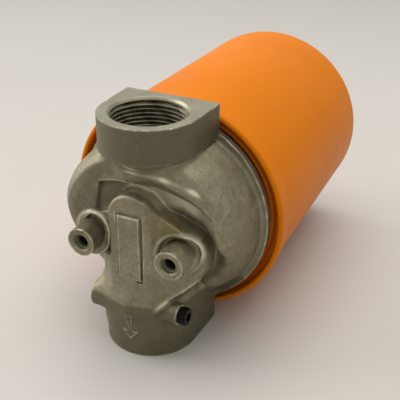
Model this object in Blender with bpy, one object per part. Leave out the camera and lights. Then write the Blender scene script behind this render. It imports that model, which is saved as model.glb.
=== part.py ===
"""Spin-on hydraulic oil filter: a cast head with a bypass valve, and a screw-on can with its element.

Units are metres. The origin is the centre of the raised pad on the front of the head.
+X runs along the can's axis towards its closed end, +Z runs along the ports towards the inlet.
"""
import math

import bmesh
import bpy
from mathutils import Matrix, Vector

MM = 0.001
GAP = 0.3 * MM                      # air between two pieces that touch
OVERLAP = 0.5 * MM                  # how far one cutter or joined shape runs past another
WELD = 0.002 * MM                   # points closer than this are one
FULL_TURN = 2 * math.pi

X_AXIS = Vector((1, 0, 0))
Y_AXIS = Vector((0, 1, 0))
Z_AXIS = Vector((0, 0, 1))

BIG_SEGMENTS = 44
SMALL_SEGMENTS = 24
HOLE_SEGMENTS = 12
TINY_SEGMENTS = 8
HEX_SEGMENTS = 6
SMOOTH_ANGLE = math.radians(32)
COPLANAR_STEP = 0.1 * MM            # keeps two joined round walls from lying in one surface

# Ports: 1-1/4 inch pipe thread
PORT_X = 25.1 * MM                  # the line through both ports
PORT_FACE_Z = 68.0 * MM
PORT_BORE_R = 19.8 * MM
PORT_MOUTH_R = 21.0 * MM
PORT_CHAMFER = 1.5 * MM
BOSS_R = 26.7 * MM
BOSS_HALF_WIDTH = 27.8 * MM
BOSS_BACK_X = 51.1 * MM
BOSS_ARC_STEPS = BIG_SEGMENTS // 2
INLET_FLOOR_Z = 48.0 * MM
INLET_BOSS_FOOT_Z = 49.0 * MM
INLET_ROOT_Z = 38.0 * MM            # below its foot the boss narrows into the bowl
INLET_ROOT_R = 16.0 * MM
OUTLET_BOSS_TOP_Z = -34.0 * MM
OUTLET_THREAD_END_Z = -42.0 * MM
THROAT_R = 13.0 * MM                # from the inlet bore down into the gallery
THROAT_WALL = 5.0 * MM              # between the throat and the seal face

# Head flange, against which the can's gasket seals
SEAL_FACE_X = 54.1 * MM
FLANGE_FRONT_X = 49.6 * MM
FLANGE_R = 58.5 * MM
GALLERY_R = 46.5 * MM

# Bowl of the head, from the flange forward: (x, radius of the upper side, radius of the lower side)
BOWL_STATIONS = (
    (50.2 * MM, 56.0 * MM, 56.0 * MM),
    (46.6 * MM, 55.0 * MM, 54.0 * MM),
    (37.6 * MM, 53.8 * MM, 50.0 * MM),
    (27.6 * MM, 53.0 * MM, 44.5 * MM),
    (20.6 * MM, 52.2 * MM, 38.0 * MM),
    (15.0 * MM, 50.4 * MM, 32.0 * MM),
    (10.5 * MM, 47.0 * MM, 28.0 * MM),
    (8.6 * MM, 43.0 * MM, 26.0 * MM),
    (9.6 * MM, 34.0 * MM, 24.0 * MM),
    (16.0 * MM, 31.0 * MM, 22.0 * MM),
)
# Gallery inside the bowl, the same way
GALLERY_STATIONS = (
    (SEAL_FACE_X + OVERLAP, GALLERY_R, GALLERY_R),
    (42.6 * MM, GALLERY_R, GALLERY_R),
    (36.0 * MM, 44.0 * MM, 38.0 * MM),
    (31.0 * MM, 38.0 * MM, 30.0 * MM),
)
UPPER_SIDE_END = math.radians(64)   # measured from the top
LOWER_SIDE_START = math.radians(140)

# Outlet body: the upright passage behind the pad
BODY_TOP_Z = -6.0 * MM
BODY_ROUNDING = 7.0 * MM
BODY_ROUNDING_STEPS = 3
BODY_FRONT_X = 1.0 * MM             # flat behind the pad
CHAMBER_X = 28.5 * MM
CHAMBER_R = 14.5 * MM
CHAMBER_TOP_Z = 14.5 * MM
CORE_R = 19.2 * MM                  # round the chamber, inside the gallery
CORE_TOP_Z = 20.0 * MM
COLLAR_R = 22.5 * MM                # round the nipple's socket
COLLAR_START_X = 40.0 * MM
COLLAR_END_X = 53.5 * MM
SOCKET_START_X = 41.0 * MM
PASSAGE_R = 13.0 * MM               # from the chamber to the nipple
PASSAGE_START_X = 29.5 * MM

# Front web: a lobe above the pad, tied to both pillars
LOBE_R = 13.0 * MM
LOBE_Z = 17.0 * MM
LOBE_ARC_STEPS = 10
LOBE_FRONT_X = 1.2 * MM
WEB_FRONT_X = 6.0 * MM
WEB_BACK_X = 24.0 * MM
# Outline of the web as (y, z), from the lobe's left side round to its right; it has a long foot on the right
WEB_OUTLINE = (
    (12.5 * MM, 20.0 * MM),
    (26.9 * MM, 11.0 * MM),
    (26.9 * MM, -8.0 * MM),
    (14.0 * MM, -12.0 * MM),
    (-17.0 * MM, -36.8 * MM),
    (-32.9 * MM, -9.0 * MM),
    (-26.9 * MM, 11.0 * MM),
    (-12.5 * MM, 20.0 * MM),
)

# Hollows in the front of the bowl as (y, z): a shelf above the lobe, and a deeper moat round the right pillar
SHELF_X = 14.0 * MM
SHELF_OUTLINE = (
    (24.0 * MM, -5.0 * MM),
    (24.0 * MM, 29.5 * MM),
    (13.5 * MM, 32.5 * MM),
    (2.0 * MM, 34.0 * MM),
    (-11.0 * MM, 34.0 * MM),
    (-22.0 * MM, 32.0 * MM),
    (-34.0 * MM, 27.0 * MM),
    (-52.0 * MM, 16.0 * MM),
    (-52.0 * MM, -5.0 * MM),
)
MOAT_X = 26.0 * MM
MOAT_OUTLINE = (
    (-12.0 * MM, -20.0 * MM),
    (-12.0 * MM, 22.6 * MM),
    (-22.6 * MM, 22.0 * MM),
    (-33.9 * MM, 15.6 * MM),
    (-41.0 * MM, 6.5 * MM),
    (-43.5 * MM, -8.0 * MM),
    (-43.5 * MM, -20.0 * MM),
)

# Raised pad
PAD_HALF_WIDTH = 6.4 * MM
PAD_HALF_HEIGHT = 18.8 * MM

# Bracket bosses, tapped M8
BRACKET_Y = 25.9 * MM
BRACKET_FACE_X = -5.4 * MM
BRACKET_R = 8.2 * MM
BRACKET_HOLE_R = 3.4 * MM
BRACKET_SINK_R = 4.4 * MM
BRACKET_HOLE_DEPTH = 14.0 * MM
BRACKET_CHAMFER = 1.0 * MM
PILLAR_R = 12.5 * MM
PILLAR_FACE_X = 4.0 * MM
PILLAR_END_X = 40.0 * MM

# Gauge bosses, 1/8 inch pipe
GAUGE_X = 11.2 * MM
GAUGE_Z = -40.8 * MM
GAUGE_BOSS_R = 9.5 * MM
GAUGE_END_Y = 25.2 * MM
GAUGE_BORE_R = 4.4 * MM
GAUGE_BORE_END_Y = -11.8 * MM        # inside the outlet port
PLUG_R = 5.2 * MM
PLUG_HEAD_END_Y = 30.0 * MM
PLUG_SHANK_R = 4.1 * MM
PLUG_SHANK_LENGTH = 7.5 * MM
PLUG_HEX_R = 2.9 * MM               # corner radius of the 5 mm hex socket
PLUG_HEX_DEPTH = 4.0 * MM
PLUG_CHAMFER = 0.6 * MM

# Nipple, 1-1/2 inch, 16 threads per inch, drawn at its pitch radius
NIPPLE_R = 18.5 * MM
NIPPLE_BORE_R = 15.5 * MM
NIPPLE_HEAD_END_X = 41.5 * MM
NIPPLE_CAN_END_X = 75.0 * MM
NIPPLE_CHAMFER = 1.0 * MM

# Bypass valve, a cartridge in the wall between gallery and outlet
VALVE_X = 32.0 * MM
VALVE_BODY_R = 8.0 * MM
VALVE_HOLE_R = VALVE_BODY_R + GAP
VALVE_WALL = 1.2 * MM
VALVE_BODY_BOTTOM_Z = 4.0 * MM
VALVE_FLANGE_R = 9.6 * MM
VALVE_FLANGE_THICKNESS = 2.0 * MM
VALVE_POCKET_R = 10.2 * MM          # room to lower the cartridge from the gallery
VALVE_POCKET_TOP_Z = 42.0 * MM
VALVE_SEAT_R = 5.4 * MM             # inner edge of the seat
VALVE_GROOVE_Z = 17.3 * MM          # middle of the groove for the seal
VALVE_GROOVE_DEPTH = 0.8 * MM
O_RING_SECTION_R = 0.55 * MM
O_RING_SEAT_GAP = 0.05 * MM
O_RING_STEPS = 6
POPPET_R = 6.4 * MM
POPPET_THICKNESS = 2.0 * MM
POPPET_STEM_R = 1.6 * MM
POPPET_STEM_END_Z = 0.0
POPPET_CHAMFER = 0.8 * MM
VALVE_SPRING_R = 4.0 * MM
VALVE_SPRING_WIRE_R = 0.55 * MM
VALVE_SPRING_TURNS = 4
VALVE_SPRING_STEPS = 14
SPRING_PLATE_R = VALVE_BODY_R - VALVE_WALL - GAP
SPRING_PLATE_THICKNESS = 1.4 * MM
SPRING_PLATE_Z = 6.0 * MM           # its underside
SPRING_PLATE_HOLES = 6
SPRING_PLATE_HOLE_R = 0.9 * MM
SPRING_PLATE_HOLE_START = math.radians(24)
SNAP_RING_THICKNESS = 0.9 * MM
SNAP_RING_WIDTH = 1.5 * MM
SNAP_RING_GAP_ANGLE = math.radians(50)

# Can: a drawn shell closed by a seamed lid
CAN_R = 64.5 * MM
CAN_WALL = 1.1 * MM
CAN_OPEN_X = 54.0 * MM
CAN_END_X = 215.6 * MM
CAN_CORNER_R = 6.0 * MM
CAN_CORNER_STEPS = 5
SEAM_R = 65.8 * MM
SEAM_FRONT_X = 52.6 * MM
SEAM_BACK_X = 62.6 * MM
LID_THICKNESS = 0.9 * MM
LID_RIM_R = 62.9 * MM               # outside of the wall that drops to the lid's face
LID_FACE_X = 57.3 * MM
LID_STEP_R = 57.0 * MM
LID_CHANNEL_X = 60.9 * MM
LID_LIP_R = 46.8 * MM
LID_LIP_X = 58.3 * MM
SEAM_BEAD = 1.2 * MM                # bevel of the folded front edge

# Gasket in the lid's channel
GASKET_INNER_R = 48.2 * MM
GASKET_OUTER_R = 55.6 * MM

# Base plate that carries the can's thread
BASE_R = 62.8 * MM
BASE_FRONT_X = LID_CHANNEL_X + LID_THICKNESS + GAP
BASE_THICKNESS = 6.0 * MM
BASE_BORE_R = NIPPLE_R + GAP
BASE_HOLES = 8
BASE_HOLE_R = 4.5 * MM
BASE_HOLE_RING_R = 36.0 * MM
BASE_HOLE_START = math.radians(11)

# Filter element
GROMMET_INNER_R = 19.3 * MM
GROMMET_OUTER_R = 25.5 * MM
CAP_R = 56.0 * MM
CAP_THICKNESS = 0.8 * MM
CAP_RIM = 6.0 * MM
CAP_HOLE_R = 19.8 * MM
OPEN_CAP_X = 72.4 * MM
CLOSED_CAP_X = 196.0 * MM           # outer face of the closed cap
CLOSED_CAP_DIMPLE_R = 13.4 * MM
CLOSED_CAP_DIMPLE = 3.0 * MM
MEDIA_INNER_R = 25.6 * MM
MEDIA_OUTER_R = 54.0 * MM
MEDIA_SHEET = 0.9 * MM
PLEATS = 36
PLEAT_CORNERS = 4                   # of the outline on each side of the sheet
TUBE_OUTER_R = 24.4 * MM
TUBE_WALL = 1.0 * MM
TUBE_HOLE_R = 3.0 * MM
TUBE_HOLE_ROWS = 6
TUBE_HOLES_PER_ROW = 6
CLIP_THICKNESS = 0.4 * MM
CLIP_INNER_HALF_WIDTH = 1.5 * MM
CLIP_DEPTH = 3.0 * MM

# Spring that holds the element against the base plate
ELEMENT_SPRING_R = 16.0 * MM
ELEMENT_SPRING_WIRE_R = 1.6 * MM
ELEMENT_SPRING_TURNS = 3
ELEMENT_SPRING_STEPS = 18


def clear_scene():
    for item in list(bpy.data.objects):
        bpy.data.objects.remove(item, do_unlink=True)


def make_material(name, colour, roughness, metallic):
    material = bpy.data.materials.new(name)
    material.use_nodes = True
    shader = material.node_tree.nodes["Principled BSDF"]
    shader.inputs["Base Color"].default_value = (*colour, 1.0)
    shader.inputs["Roughness"].default_value = roughness
    shader.inputs["Metallic"].default_value = metallic
    return material


def add_object(name, shape, material=None):
    """Turn a bmesh into an object, with its faces pointing out."""
    bmesh.ops.recalc_face_normals(shape, faces=shape.faces)
    mesh = bpy.data.meshes.new(name)
    shape.to_mesh(mesh)
    shape.free()
    mesh.shade_smooth()
    mesh.set_sharp_from_angle(angle=SMOOTH_ANGLE)
    item = bpy.data.objects.new(name, mesh)
    bpy.context.scene.collection.objects.link(item)
    if material:
        mesh.materials.append(material)
    return item


def combine(target, tool, operation):
    """Join the tool to the target or cut it away, and drop the tool."""
    modifier = target.modifiers.new("combine", "BOOLEAN")
    modifier.operation = operation
    modifier.solver = "EXACT"
    modifier.object = tool
    evaluated = target.evaluated_get(bpy.context.evaluated_depsgraph_get())
    mesh = bpy.data.meshes.new_from_object(evaluated)
    shape = bmesh.new()
    shape.from_mesh(mesh)
    bmesh.ops.remove_doubles(shape, verts=shape.verts, dist=WELD)
    bmesh.ops.dissolve_degenerate(shape, edges=shape.edges, dist=WELD)
    shape.to_mesh(mesh)
    shape.free()
    target.modifiers.clear()
    target.data = mesh
    bpy.data.objects.remove(tool, do_unlink=True)


def join(target, tool):
    combine(target, tool, "UNION")


def cut(target, tool):
    combine(target, tool, "DIFFERENCE")


# ---------------------------------------------------------------- basic shapes

def turned(name, profile, material=None, axis=X_AXIS, centre=Vector(), segments=BIG_SEGMENTS, closed=True):
    """Turn a profile of (height, radius) points about an axis through the centre, its origin."""
    side = Y_AXIS if abs(axis.y) < abs(axis.x) + abs(axis.z) else X_AXIS
    shape = bmesh.new()
    corners = [shape.verts.new(axis * height + side * radius) for height, radius in profile]
    edges = [shape.edges.new(pair) for pair in zip(corners, corners[1:])]
    if closed:
        edges.append(shape.edges.new((corners[-1], corners[0])))
    bmesh.ops.spin(shape, geom=corners + edges, cent=Vector(), axis=axis, angle=FULL_TURN,
                   steps=segments, use_merge=True)
    bmesh.ops.remove_doubles(shape, verts=shape.verts, dist=WELD)
    item = add_object(name, shape, material)
    item.location = centre
    return item


def rod(name, start, end, radius, axis=X_AXIS, centre=Vector(), segments=SMALL_SEGMENTS, end_radius=None):
    """A round bar or cone between two heights along an axis."""
    tip_radius = radius if end_radius is None else end_radius
    profile = ((start, 0.0), (start, radius), (end, tip_radius), (end, 0.0))
    return turned(name, profile, axis=axis, centre=centre, segments=segments, closed=False)


def ring_profile(start, end, inner_r, outer_r):
    return ((start, inner_r), (start, outer_r), (end, outer_r), (end, inner_r))


def prism(name, outline, start, end, axis):
    """Extrude a flat outline of points, given at height 0, from start to end along an axis."""
    shape = bmesh.new()
    face = shape.faces.new([shape.verts.new(point + axis * start) for point in outline])
    swept = bmesh.ops.extrude_face_region(shape, geom=[face])
    raised = [item for item in swept["geom"] if isinstance(item, bmesh.types.BMVert)]
    bmesh.ops.translate(shape, verts=raised, vec=axis * (end - start))
    return add_object(name, shape)


def box(name, low, high):
    shape = bmesh.new()
    size = high - low
    placing = Matrix.Translation((low + high) / 2) @ Matrix.Diagonal((*size, 1.0))
    bmesh.ops.create_cube(shape, size=1.0, matrix=placing)
    return add_object(name, shape)


def side_blend(angle):
    """1 on the upper side of the bowl, 0 on its lower side, with an even change between."""
    away = min(abs(angle), FULL_TURN - abs(angle))
    progress = (away - UPPER_SIDE_END) / (LOWER_SIDE_START - UPPER_SIDE_END)
    progress = min(max(progress, 0.0), 1.0)
    return (1 + math.cos(math.pi * progress)) / 2


def loft(name, stations, segments=BIG_SEGMENTS):
    """A solid through round sections across the X axis, each (x, upper radius, lower radius)."""
    shape = bmesh.new()
    rings = []
    for x, upper_r, lower_r in stations:
        ring = []
        for step in range(segments):
            angle = FULL_TURN * step / segments
            radius = lower_r + (upper_r - lower_r) * side_blend(angle)
            ring.append(shape.verts.new((x, radius * math.sin(angle), radius * math.cos(angle))))
        rings.append(ring)
    for near, far in zip(rings, rings[1:]):
        for step in range(segments):
            after = (step + 1) % segments
            shape.faces.new((near[step], near[after], far[after], far[step]))
    shape.faces.new(rings[0])
    shape.faces.new(rings[-1])
    return add_object(name, shape)


def coil(name, material, radius, wire_r, start, end, turns, axis, centre, steps):
    """A round wire wound about an axis, from one height to another."""
    side = Y_AXIS
    other = axis.cross(side)
    curve = bpy.data.curves.new(name, "CURVE")
    curve.dimensions = "3D"
    curve.bevel_depth = wire_r
    curve.bevel_resolution = 1
    curve.use_fill_caps = True
    line = curve.splines.new("POLY")
    count = turns * steps
    line.points.add(count)
    for index in range(count + 1):
        angle = FULL_TURN * index / steps
        height = start + (end - start) * index / count
        point = axis * height + radius * (side * math.cos(angle) + other * math.sin(angle))
        line.points[index].co = (*point, 1.0)
    curve.materials.append(material)
    item = bpy.data.objects.new(name, curve)
    bpy.context.scene.collection.objects.link(item)
    item.location = centre
    return item


# ---------------------------------------------------------------- head casting

def port_boss(name, low, high):
    """A boss with a round front and flat sides, square at the back."""
    outline = [Vector((BOSS_BACK_X, BOSS_HALF_WIDTH, 0.0))]
    for step in range(BOSS_ARC_STEPS + 1):
        angle = math.pi / 2 + math.pi * step / BOSS_ARC_STEPS
        outline.append(Vector((PORT_X + BOSS_R * math.cos(angle), BOSS_R * math.sin(angle), 0.0)))
    outline.append(Vector((BOSS_BACK_X, -BOSS_HALF_WIDTH, 0.0)))
    return prism(name, outline, low, high, Z_AXIS)


def port_bore(name, depth_z, side):
    """A port's bore with its mouth chamfer; side is 1 for the inlet and -1 for the outlet."""
    mouth = PORT_FACE_Z * side
    profile = (
        (mouth + OVERLAP * side, 0.0),
        (mouth + OVERLAP * side, PORT_MOUTH_R),
        (mouth, PORT_MOUTH_R),
        (mouth - PORT_CHAMFER * side, PORT_BORE_R),
        (depth_z, PORT_BORE_R),
        (depth_z, 0.0),
    )
    return turned(name, profile, axis=Z_AXIS, centre=X_AXIS * PORT_X, closed=False)


def outlet_body():
    """The upright passage with a rounded top, cut flat at the front."""
    radius = BOSS_R - COPLANAR_STEP
    bottom = OUTLET_BOSS_TOP_Z - OVERLAP
    profile = [(bottom, 0.0), (bottom, radius)]
    for step in range(BODY_ROUNDING_STEPS + 1):
        angle = math.pi / 2 * step / BODY_ROUNDING_STEPS
        profile.append((BODY_TOP_Z - BODY_ROUNDING + BODY_ROUNDING * math.sin(angle),
                        radius - BODY_ROUNDING * (1 - math.cos(angle))))
    profile.append((BODY_TOP_Z, 0.0))
    body = turned("outlet_body", profile, axis=Z_AXIS, centre=X_AXIS * PORT_X, closed=False)
    reach = BOSS_R * 2
    front = box("front_trim", Vector((PORT_X - reach, -reach, OUTLET_BOSS_TOP_Z + OVERLAP)),
                Vector((BODY_FRONT_X, reach, reach)))
    cut(body, front)
    return body


def bracket_side(side):
    """Pillar and boss for one bracket bolt; side is 1 or -1 along Y."""
    centre = Y_AXIS * BRACKET_Y * side
    pillar = rod("pillar", PILLAR_FACE_X, PILLAR_END_X, PILLAR_R, centre=centre)
    profile = (
        (BRACKET_FACE_X, 0.0),
        (BRACKET_FACE_X, BRACKET_R - BRACKET_CHAMFER),
        (BRACKET_FACE_X + BRACKET_CHAMFER, BRACKET_R),
        (PILLAR_FACE_X + PILLAR_R, BRACKET_R),
        (PILLAR_FACE_X + PILLAR_R, 0.0),
    )
    join(pillar, turned("boss", profile, centre=centre, segments=SMALL_SEGMENTS, closed=False))
    return pillar


def across(outline):
    """Points across the X axis from (y, z) pairs."""
    return [Vector((0.0, y, z)) for y, z in outline]


def lobe():
    """Flat-fronted upright behind the pad, with a round top."""
    foot = OUTLET_BOSS_TOP_Z + OVERLAP * 2
    outline = [Vector((0.0, -LOBE_R, foot)), Vector((0.0, LOBE_R, foot))]
    for step in range(LOBE_ARC_STEPS + 1):
        angle = math.pi * step / LOBE_ARC_STEPS
        outline.append(Vector((0.0, LOBE_R * math.cos(angle), LOBE_Z + LOBE_R * math.sin(angle))))
    return prism("lobe", outline, LOBE_FRONT_X, WEB_BACK_X - OVERLAP, X_AXIS)


def front_web():
    """The web that ties the lobe to the two pillars, and both down to the gauge bosses."""
    return prism("front_web", across(WEB_OUTLINE), WEB_FRONT_X, WEB_BACK_X, X_AXIS)


def bowl():
    """The round back of the head, with the hollows in its front."""
    body = loft("bowl", BOWL_STATIONS)
    cut(body, prism("shelf", across(SHELF_OUTLINE), -SHELF_X, SHELF_X, X_AXIS))
    cut(body, prism("moat", across(MOAT_OUTLINE), -SHELF_X, MOAT_X, X_AXIS))
    return body


def bracket_hole(side):
    """Tapped hole with its countersink."""
    sink = BRACKET_SINK_R - BRACKET_HOLE_R
    profile = (
        (BRACKET_FACE_X - OVERLAP, 0.0),
        (BRACKET_FACE_X - OVERLAP, BRACKET_SINK_R + OVERLAP),
        (BRACKET_FACE_X + sink, BRACKET_HOLE_R),
        (BRACKET_FACE_X + BRACKET_HOLE_DEPTH, BRACKET_HOLE_R),
        (BRACKET_FACE_X + BRACKET_HOLE_DEPTH + BRACKET_HOLE_R / 2, 0.0),
    )
    return turned("tapped_hole", profile, centre=Y_AXIS * BRACKET_Y * side,
                  segments=HOLE_SEGMENTS, closed=False)


def passage_core():
    """The walls of the outlet passage where it stands inside the gallery."""
    core = rod("core", OUTLET_BOSS_TOP_Z - OVERLAP, CORE_TOP_Z, CORE_R, axis=Z_AXIS, centre=X_AXIS * CHAMBER_X)
    join(core, rod("collar", COLLAR_START_X, COLLAR_END_X, COLLAR_R))
    return core


def cut_passages(head):
    """Inlet, outlet, nipple socket and the seat of the bypass valve."""
    cut(head, port_bore("inlet_bore", INLET_FLOOR_Z, 1))
    throat_x = SEAL_FACE_X - THROAT_R - THROAT_WALL
    cut(head, rod("throat", CORE_TOP_Z + THROAT_R, INLET_FLOOR_Z + OVERLAP, THROAT_R, axis=Z_AXIS,
                  centre=X_AXIS * throat_x))
    cut(head, port_bore("outlet_bore", OUTLET_THREAD_END_Z, -1))
    cut(head, rod("chamber", OUTLET_THREAD_END_Z - OVERLAP, CHAMBER_TOP_Z, CHAMBER_R, axis=Z_AXIS,
                  centre=X_AXIS * CHAMBER_X))
    cut(head, rod("nipple_socket", SOCKET_START_X, SEAL_FACE_X, NIPPLE_R + GAP))
    cut(head, rod("nipple_passage", PASSAGE_START_X, SOCKET_START_X + OVERLAP, PASSAGE_R))
    cut(head, rod("valve_hole", CHAMBER_TOP_Z - OVERLAP, CORE_TOP_Z + OVERLAP, VALVE_HOLE_R, axis=Z_AXIS,
                  centre=X_AXIS * VALVE_X))
    cut(head, rod("valve_pocket", CORE_TOP_Z, VALVE_POCKET_TOP_Z, VALVE_POCKET_R, axis=Z_AXIS,
                  centre=X_AXIS * VALVE_X))


def head_casting(material):
    head = rod("head_casting", FLANGE_FRONT_X, SEAL_FACE_X, FLANGE_R, segments=BIG_SEGMENTS)
    join(head, bowl())
    join(head, port_boss("inlet_boss", INLET_BOSS_FOOT_Z, PORT_FACE_Z))
    join(head, rod("inlet_root", INLET_ROOT_Z, INLET_BOSS_FOOT_Z + OVERLAP, INLET_ROOT_R, axis=Z_AXIS,
                   centre=X_AXIS * PORT_X, segments=BIG_SEGMENTS, end_radius=BOSS_R - COPLANAR_STEP))
    join(head, port_boss("outlet_boss", -PORT_FACE_Z, OUTLET_BOSS_TOP_Z))
    join(head, outlet_body())
    join(head, lobe())
    join(head, front_web())
    join(head, bracket_side(1))
    join(head, bracket_side(-1))
    join(head, rod("gauge_bosses", -GAUGE_END_Y, GAUGE_END_Y, GAUGE_BOSS_R, axis=Y_AXIS,
                   centre=Vector((GAUGE_X, 0.0, GAUGE_Z))))
    join(head, box("pad", Vector((0.0, -PAD_HALF_WIDTH, -PAD_HALF_HEIGHT)),
                   Vector((BODY_FRONT_X + OVERLAP, PAD_HALF_WIDTH, PAD_HALF_HEIGHT))))
    cut(head, loft("gallery", GALLERY_STATIONS))
    join(head, passage_core())
    cut_passages(head)
    cut(head, bracket_hole(1))
    cut(head, bracket_hole(-1))
    cut(head, rod("gauge_bore", -GAUGE_END_Y - OVERLAP, GAUGE_BORE_END_Y, GAUGE_BORE_R, axis=Y_AXIS,
                  centre=Vector((GAUGE_X, 0.0, GAUGE_Z)), segments=HOLE_SEGMENTS))
    head.data.materials.clear()
    head.data.materials.append(material)
    head.data.shade_smooth()
    head.data.set_sharp_from_angle(angle=SMOOTH_ANGLE)
    return head


# ---------------------------------------------------------------- head fittings

def threaded_nipple(material):
    profile = (
        (NIPPLE_HEAD_END_X, NIPPLE_BORE_R),
        (NIPPLE_HEAD_END_X, NIPPLE_R - NIPPLE_CHAMFER),
        (NIPPLE_HEAD_END_X + NIPPLE_CHAMFER, NIPPLE_R),
        (NIPPLE_CAN_END_X - NIPPLE_CHAMFER, NIPPLE_R),
        (NIPPLE_CAN_END_X, NIPPLE_R - NIPPLE_CHAMFER),
        (NIPPLE_CAN_END_X, NIPPLE_BORE_R),
    )
    return turned("threaded_nipple", profile, material)


def gauge_port_plug(material):
    """Socket-head pipe plug in the right-hand gauge boss."""
    centre = Vector((GAUGE_X, 0.0, GAUGE_Z))
    seat_y = -GAUGE_END_Y - GAP
    profile = (
        (seat_y + PLUG_SHANK_LENGTH, 0.0),
        (seat_y + PLUG_SHANK_LENGTH, PLUG_SHANK_R - PLUG_CHAMFER),
        (seat_y + PLUG_SHANK_LENGTH - PLUG_CHAMFER, PLUG_SHANK_R),
        (seat_y, PLUG_SHANK_R),
        (seat_y, PLUG_R),
        (-PLUG_HEAD_END_Y + PLUG_CHAMFER, PLUG_R),
        (-PLUG_HEAD_END_Y, PLUG_R - PLUG_CHAMFER),
        (-PLUG_HEAD_END_Y, 0.0),
    )
    plug = turned("gauge_port_plug", profile, material, axis=Y_AXIS, centre=centre,
                  segments=SMALL_SEGMENTS, closed=False)
    hexagon = rod("hex_socket", -PLUG_HEAD_END_Y - OVERLAP, -PLUG_HEAD_END_Y + PLUG_HEX_DEPTH, PLUG_HEX_R,
                  axis=Y_AXIS, centre=centre, segments=HEX_SEGMENTS)
    cut(plug, hexagon)
    return plug


# ---------------------------------------------------------------- bypass valve

def valve_levels():
    """Heights that the valve's pieces share, worked out from the wall it sits in."""
    flange_bottom = CORE_TOP_Z + GAP
    flange_top = flange_bottom + VALVE_FLANGE_THICKNESS
    poppet_top = flange_bottom - GAP
    return flange_bottom, flange_top, poppet_top


def valve_body(material):
    """Flanged sleeve whose top lip is the seat, with a groove for its seal."""
    flange_bottom, flange_top, _ = valve_levels()
    inner_r = VALVE_BODY_R - VALVE_WALL
    groove_half = O_RING_SECTION_R + GAP
    profile = (
        (flange_top, VALVE_SEAT_R),
        (flange_top, VALVE_FLANGE_R),
        (flange_bottom, VALVE_FLANGE_R),
        (flange_bottom, VALVE_BODY_R),
        (VALVE_GROOVE_Z + groove_half, VALVE_BODY_R),
        (VALVE_GROOVE_Z + groove_half, VALVE_BODY_R - VALVE_GROOVE_DEPTH),
        (VALVE_GROOVE_Z - groove_half, VALVE_BODY_R - VALVE_GROOVE_DEPTH),
        (VALVE_GROOVE_Z - groove_half, VALVE_BODY_R),
        (VALVE_BODY_BOTTOM_Z, VALVE_BODY_R),
        (VALVE_BODY_BOTTOM_Z, inner_r),
        (flange_bottom, inner_r),
        (flange_bottom, VALVE_SEAT_R),
    )
    return turned("bypass_valve_body", profile, material, axis=Z_AXIS, centre=X_AXIS * VALVE_X,
                  segments=SMALL_SEGMENTS)


def valve_o_ring(material):
    """Seal in the sleeve's groove; its section is flattened a little, as when fitted."""
    floor_r = VALVE_BODY_R - VALVE_GROOVE_DEPTH
    half_depth = (VALVE_HOLE_R - floor_r) / 2 - O_RING_SEAT_GAP
    middle_r = floor_r + O_RING_SEAT_GAP + half_depth
    profile = []
    for step in range(O_RING_STEPS):
        angle = FULL_TURN * step / O_RING_STEPS
        height = VALVE_GROOVE_Z + O_RING_SECTION_R * math.sin(angle)
        profile.append((height, middle_r + half_depth * math.cos(angle)))
    return turned("bypass_o_ring", profile, material, axis=Z_AXIS, centre=X_AXIS * VALVE_X,
                  segments=SMALL_SEGMENTS)


def valve_poppet(material):
    """Disc that closes the seat from below, on a stem that slides in the spring plate."""
    _, _, top = valve_levels()
    profile = (
        (top, 0.0),
        (top, POPPET_R - POPPET_CHAMFER),
        (top - POPPET_CHAMFER, POPPET_R),
        (top - POPPET_THICKNESS, POPPET_R),
        (top - POPPET_THICKNESS, POPPET_STEM_R),
        (POPPET_STEM_END_Z, POPPET_STEM_R),
        (POPPET_STEM_END_Z, 0.0),
    )
    return turned("bypass_poppet", profile, material, axis=Z_AXIS, centre=X_AXIS * VALVE_X,
                  segments=SMALL_SEGMENTS, closed=False)


def valve_spring(material):
    _, _, poppet_top = valve_levels()
    low = SPRING_PLATE_Z + SPRING_PLATE_THICKNESS + VALVE_SPRING_WIRE_R + GAP
    high = poppet_top - POPPET_THICKNESS - VALVE_SPRING_WIRE_R - GAP
    return coil("bypass_spring", material, VALVE_SPRING_R, VALVE_SPRING_WIRE_R, low, high,
                VALVE_SPRING_TURNS, Z_AXIS, X_AXIS * VALVE_X, VALVE_SPRING_STEPS)


def valve_spring_plate(material):
    """Plate that backs the spring and guides the poppet's stem, with flow holes round it."""
    centre = X_AXIS * VALVE_X
    top = SPRING_PLATE_Z + SPRING_PLATE_THICKNESS
    plate = turned("bypass_spring_plate",
                   ring_profile(SPRING_PLATE_Z, top, POPPET_STEM_R + GAP, SPRING_PLATE_R),
                   material, axis=Z_AXIS, centre=centre, segments=SMALL_SEGMENTS)
    ring_r = (VALVE_SPRING_R + SPRING_PLATE_R) / 2
    for index in range(SPRING_PLATE_HOLES):
        turn = Matrix.Rotation(SPRING_PLATE_HOLE_START + FULL_TURN * index / SPRING_PLATE_HOLES, 3, Z_AXIS)
        cut(plate, rod("flow_hole", SPRING_PLATE_Z - OVERLAP, top + OVERLAP, SPRING_PLATE_HOLE_R,
                       axis=Z_AXIS, centre=centre + turn @ (X_AXIS * ring_r), segments=TINY_SEGMENTS))
    return plate


def valve_snap_ring(material):
    """Open ring that holds the spring plate in the sleeve."""
    top = SPRING_PLATE_Z - GAP
    bottom = top - SNAP_RING_THICKNESS
    profile = ring_profile(bottom, top, SPRING_PLATE_R - SNAP_RING_WIDTH, SPRING_PLATE_R)
    ring = turned("bypass_snap_ring", profile, material, axis=Z_AXIS, centre=X_AXIS * VALVE_X,
                  segments=SMALL_SEGMENTS)
    reach = SPRING_PLATE_R * 2
    side = reach * math.tan(SNAP_RING_GAP_ANGLE / 2)
    outline = [X_AXIS * VALVE_X, Vector((VALVE_X + reach, -side, 0.0)), Vector((VALVE_X + reach, side, 0.0))]
    cut(ring, prism("ring_gap", outline, bottom - OVERLAP, top + OVERLAP, Z_AXIS))
    return ring


# ---------------------------------------------------------------- can

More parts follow.
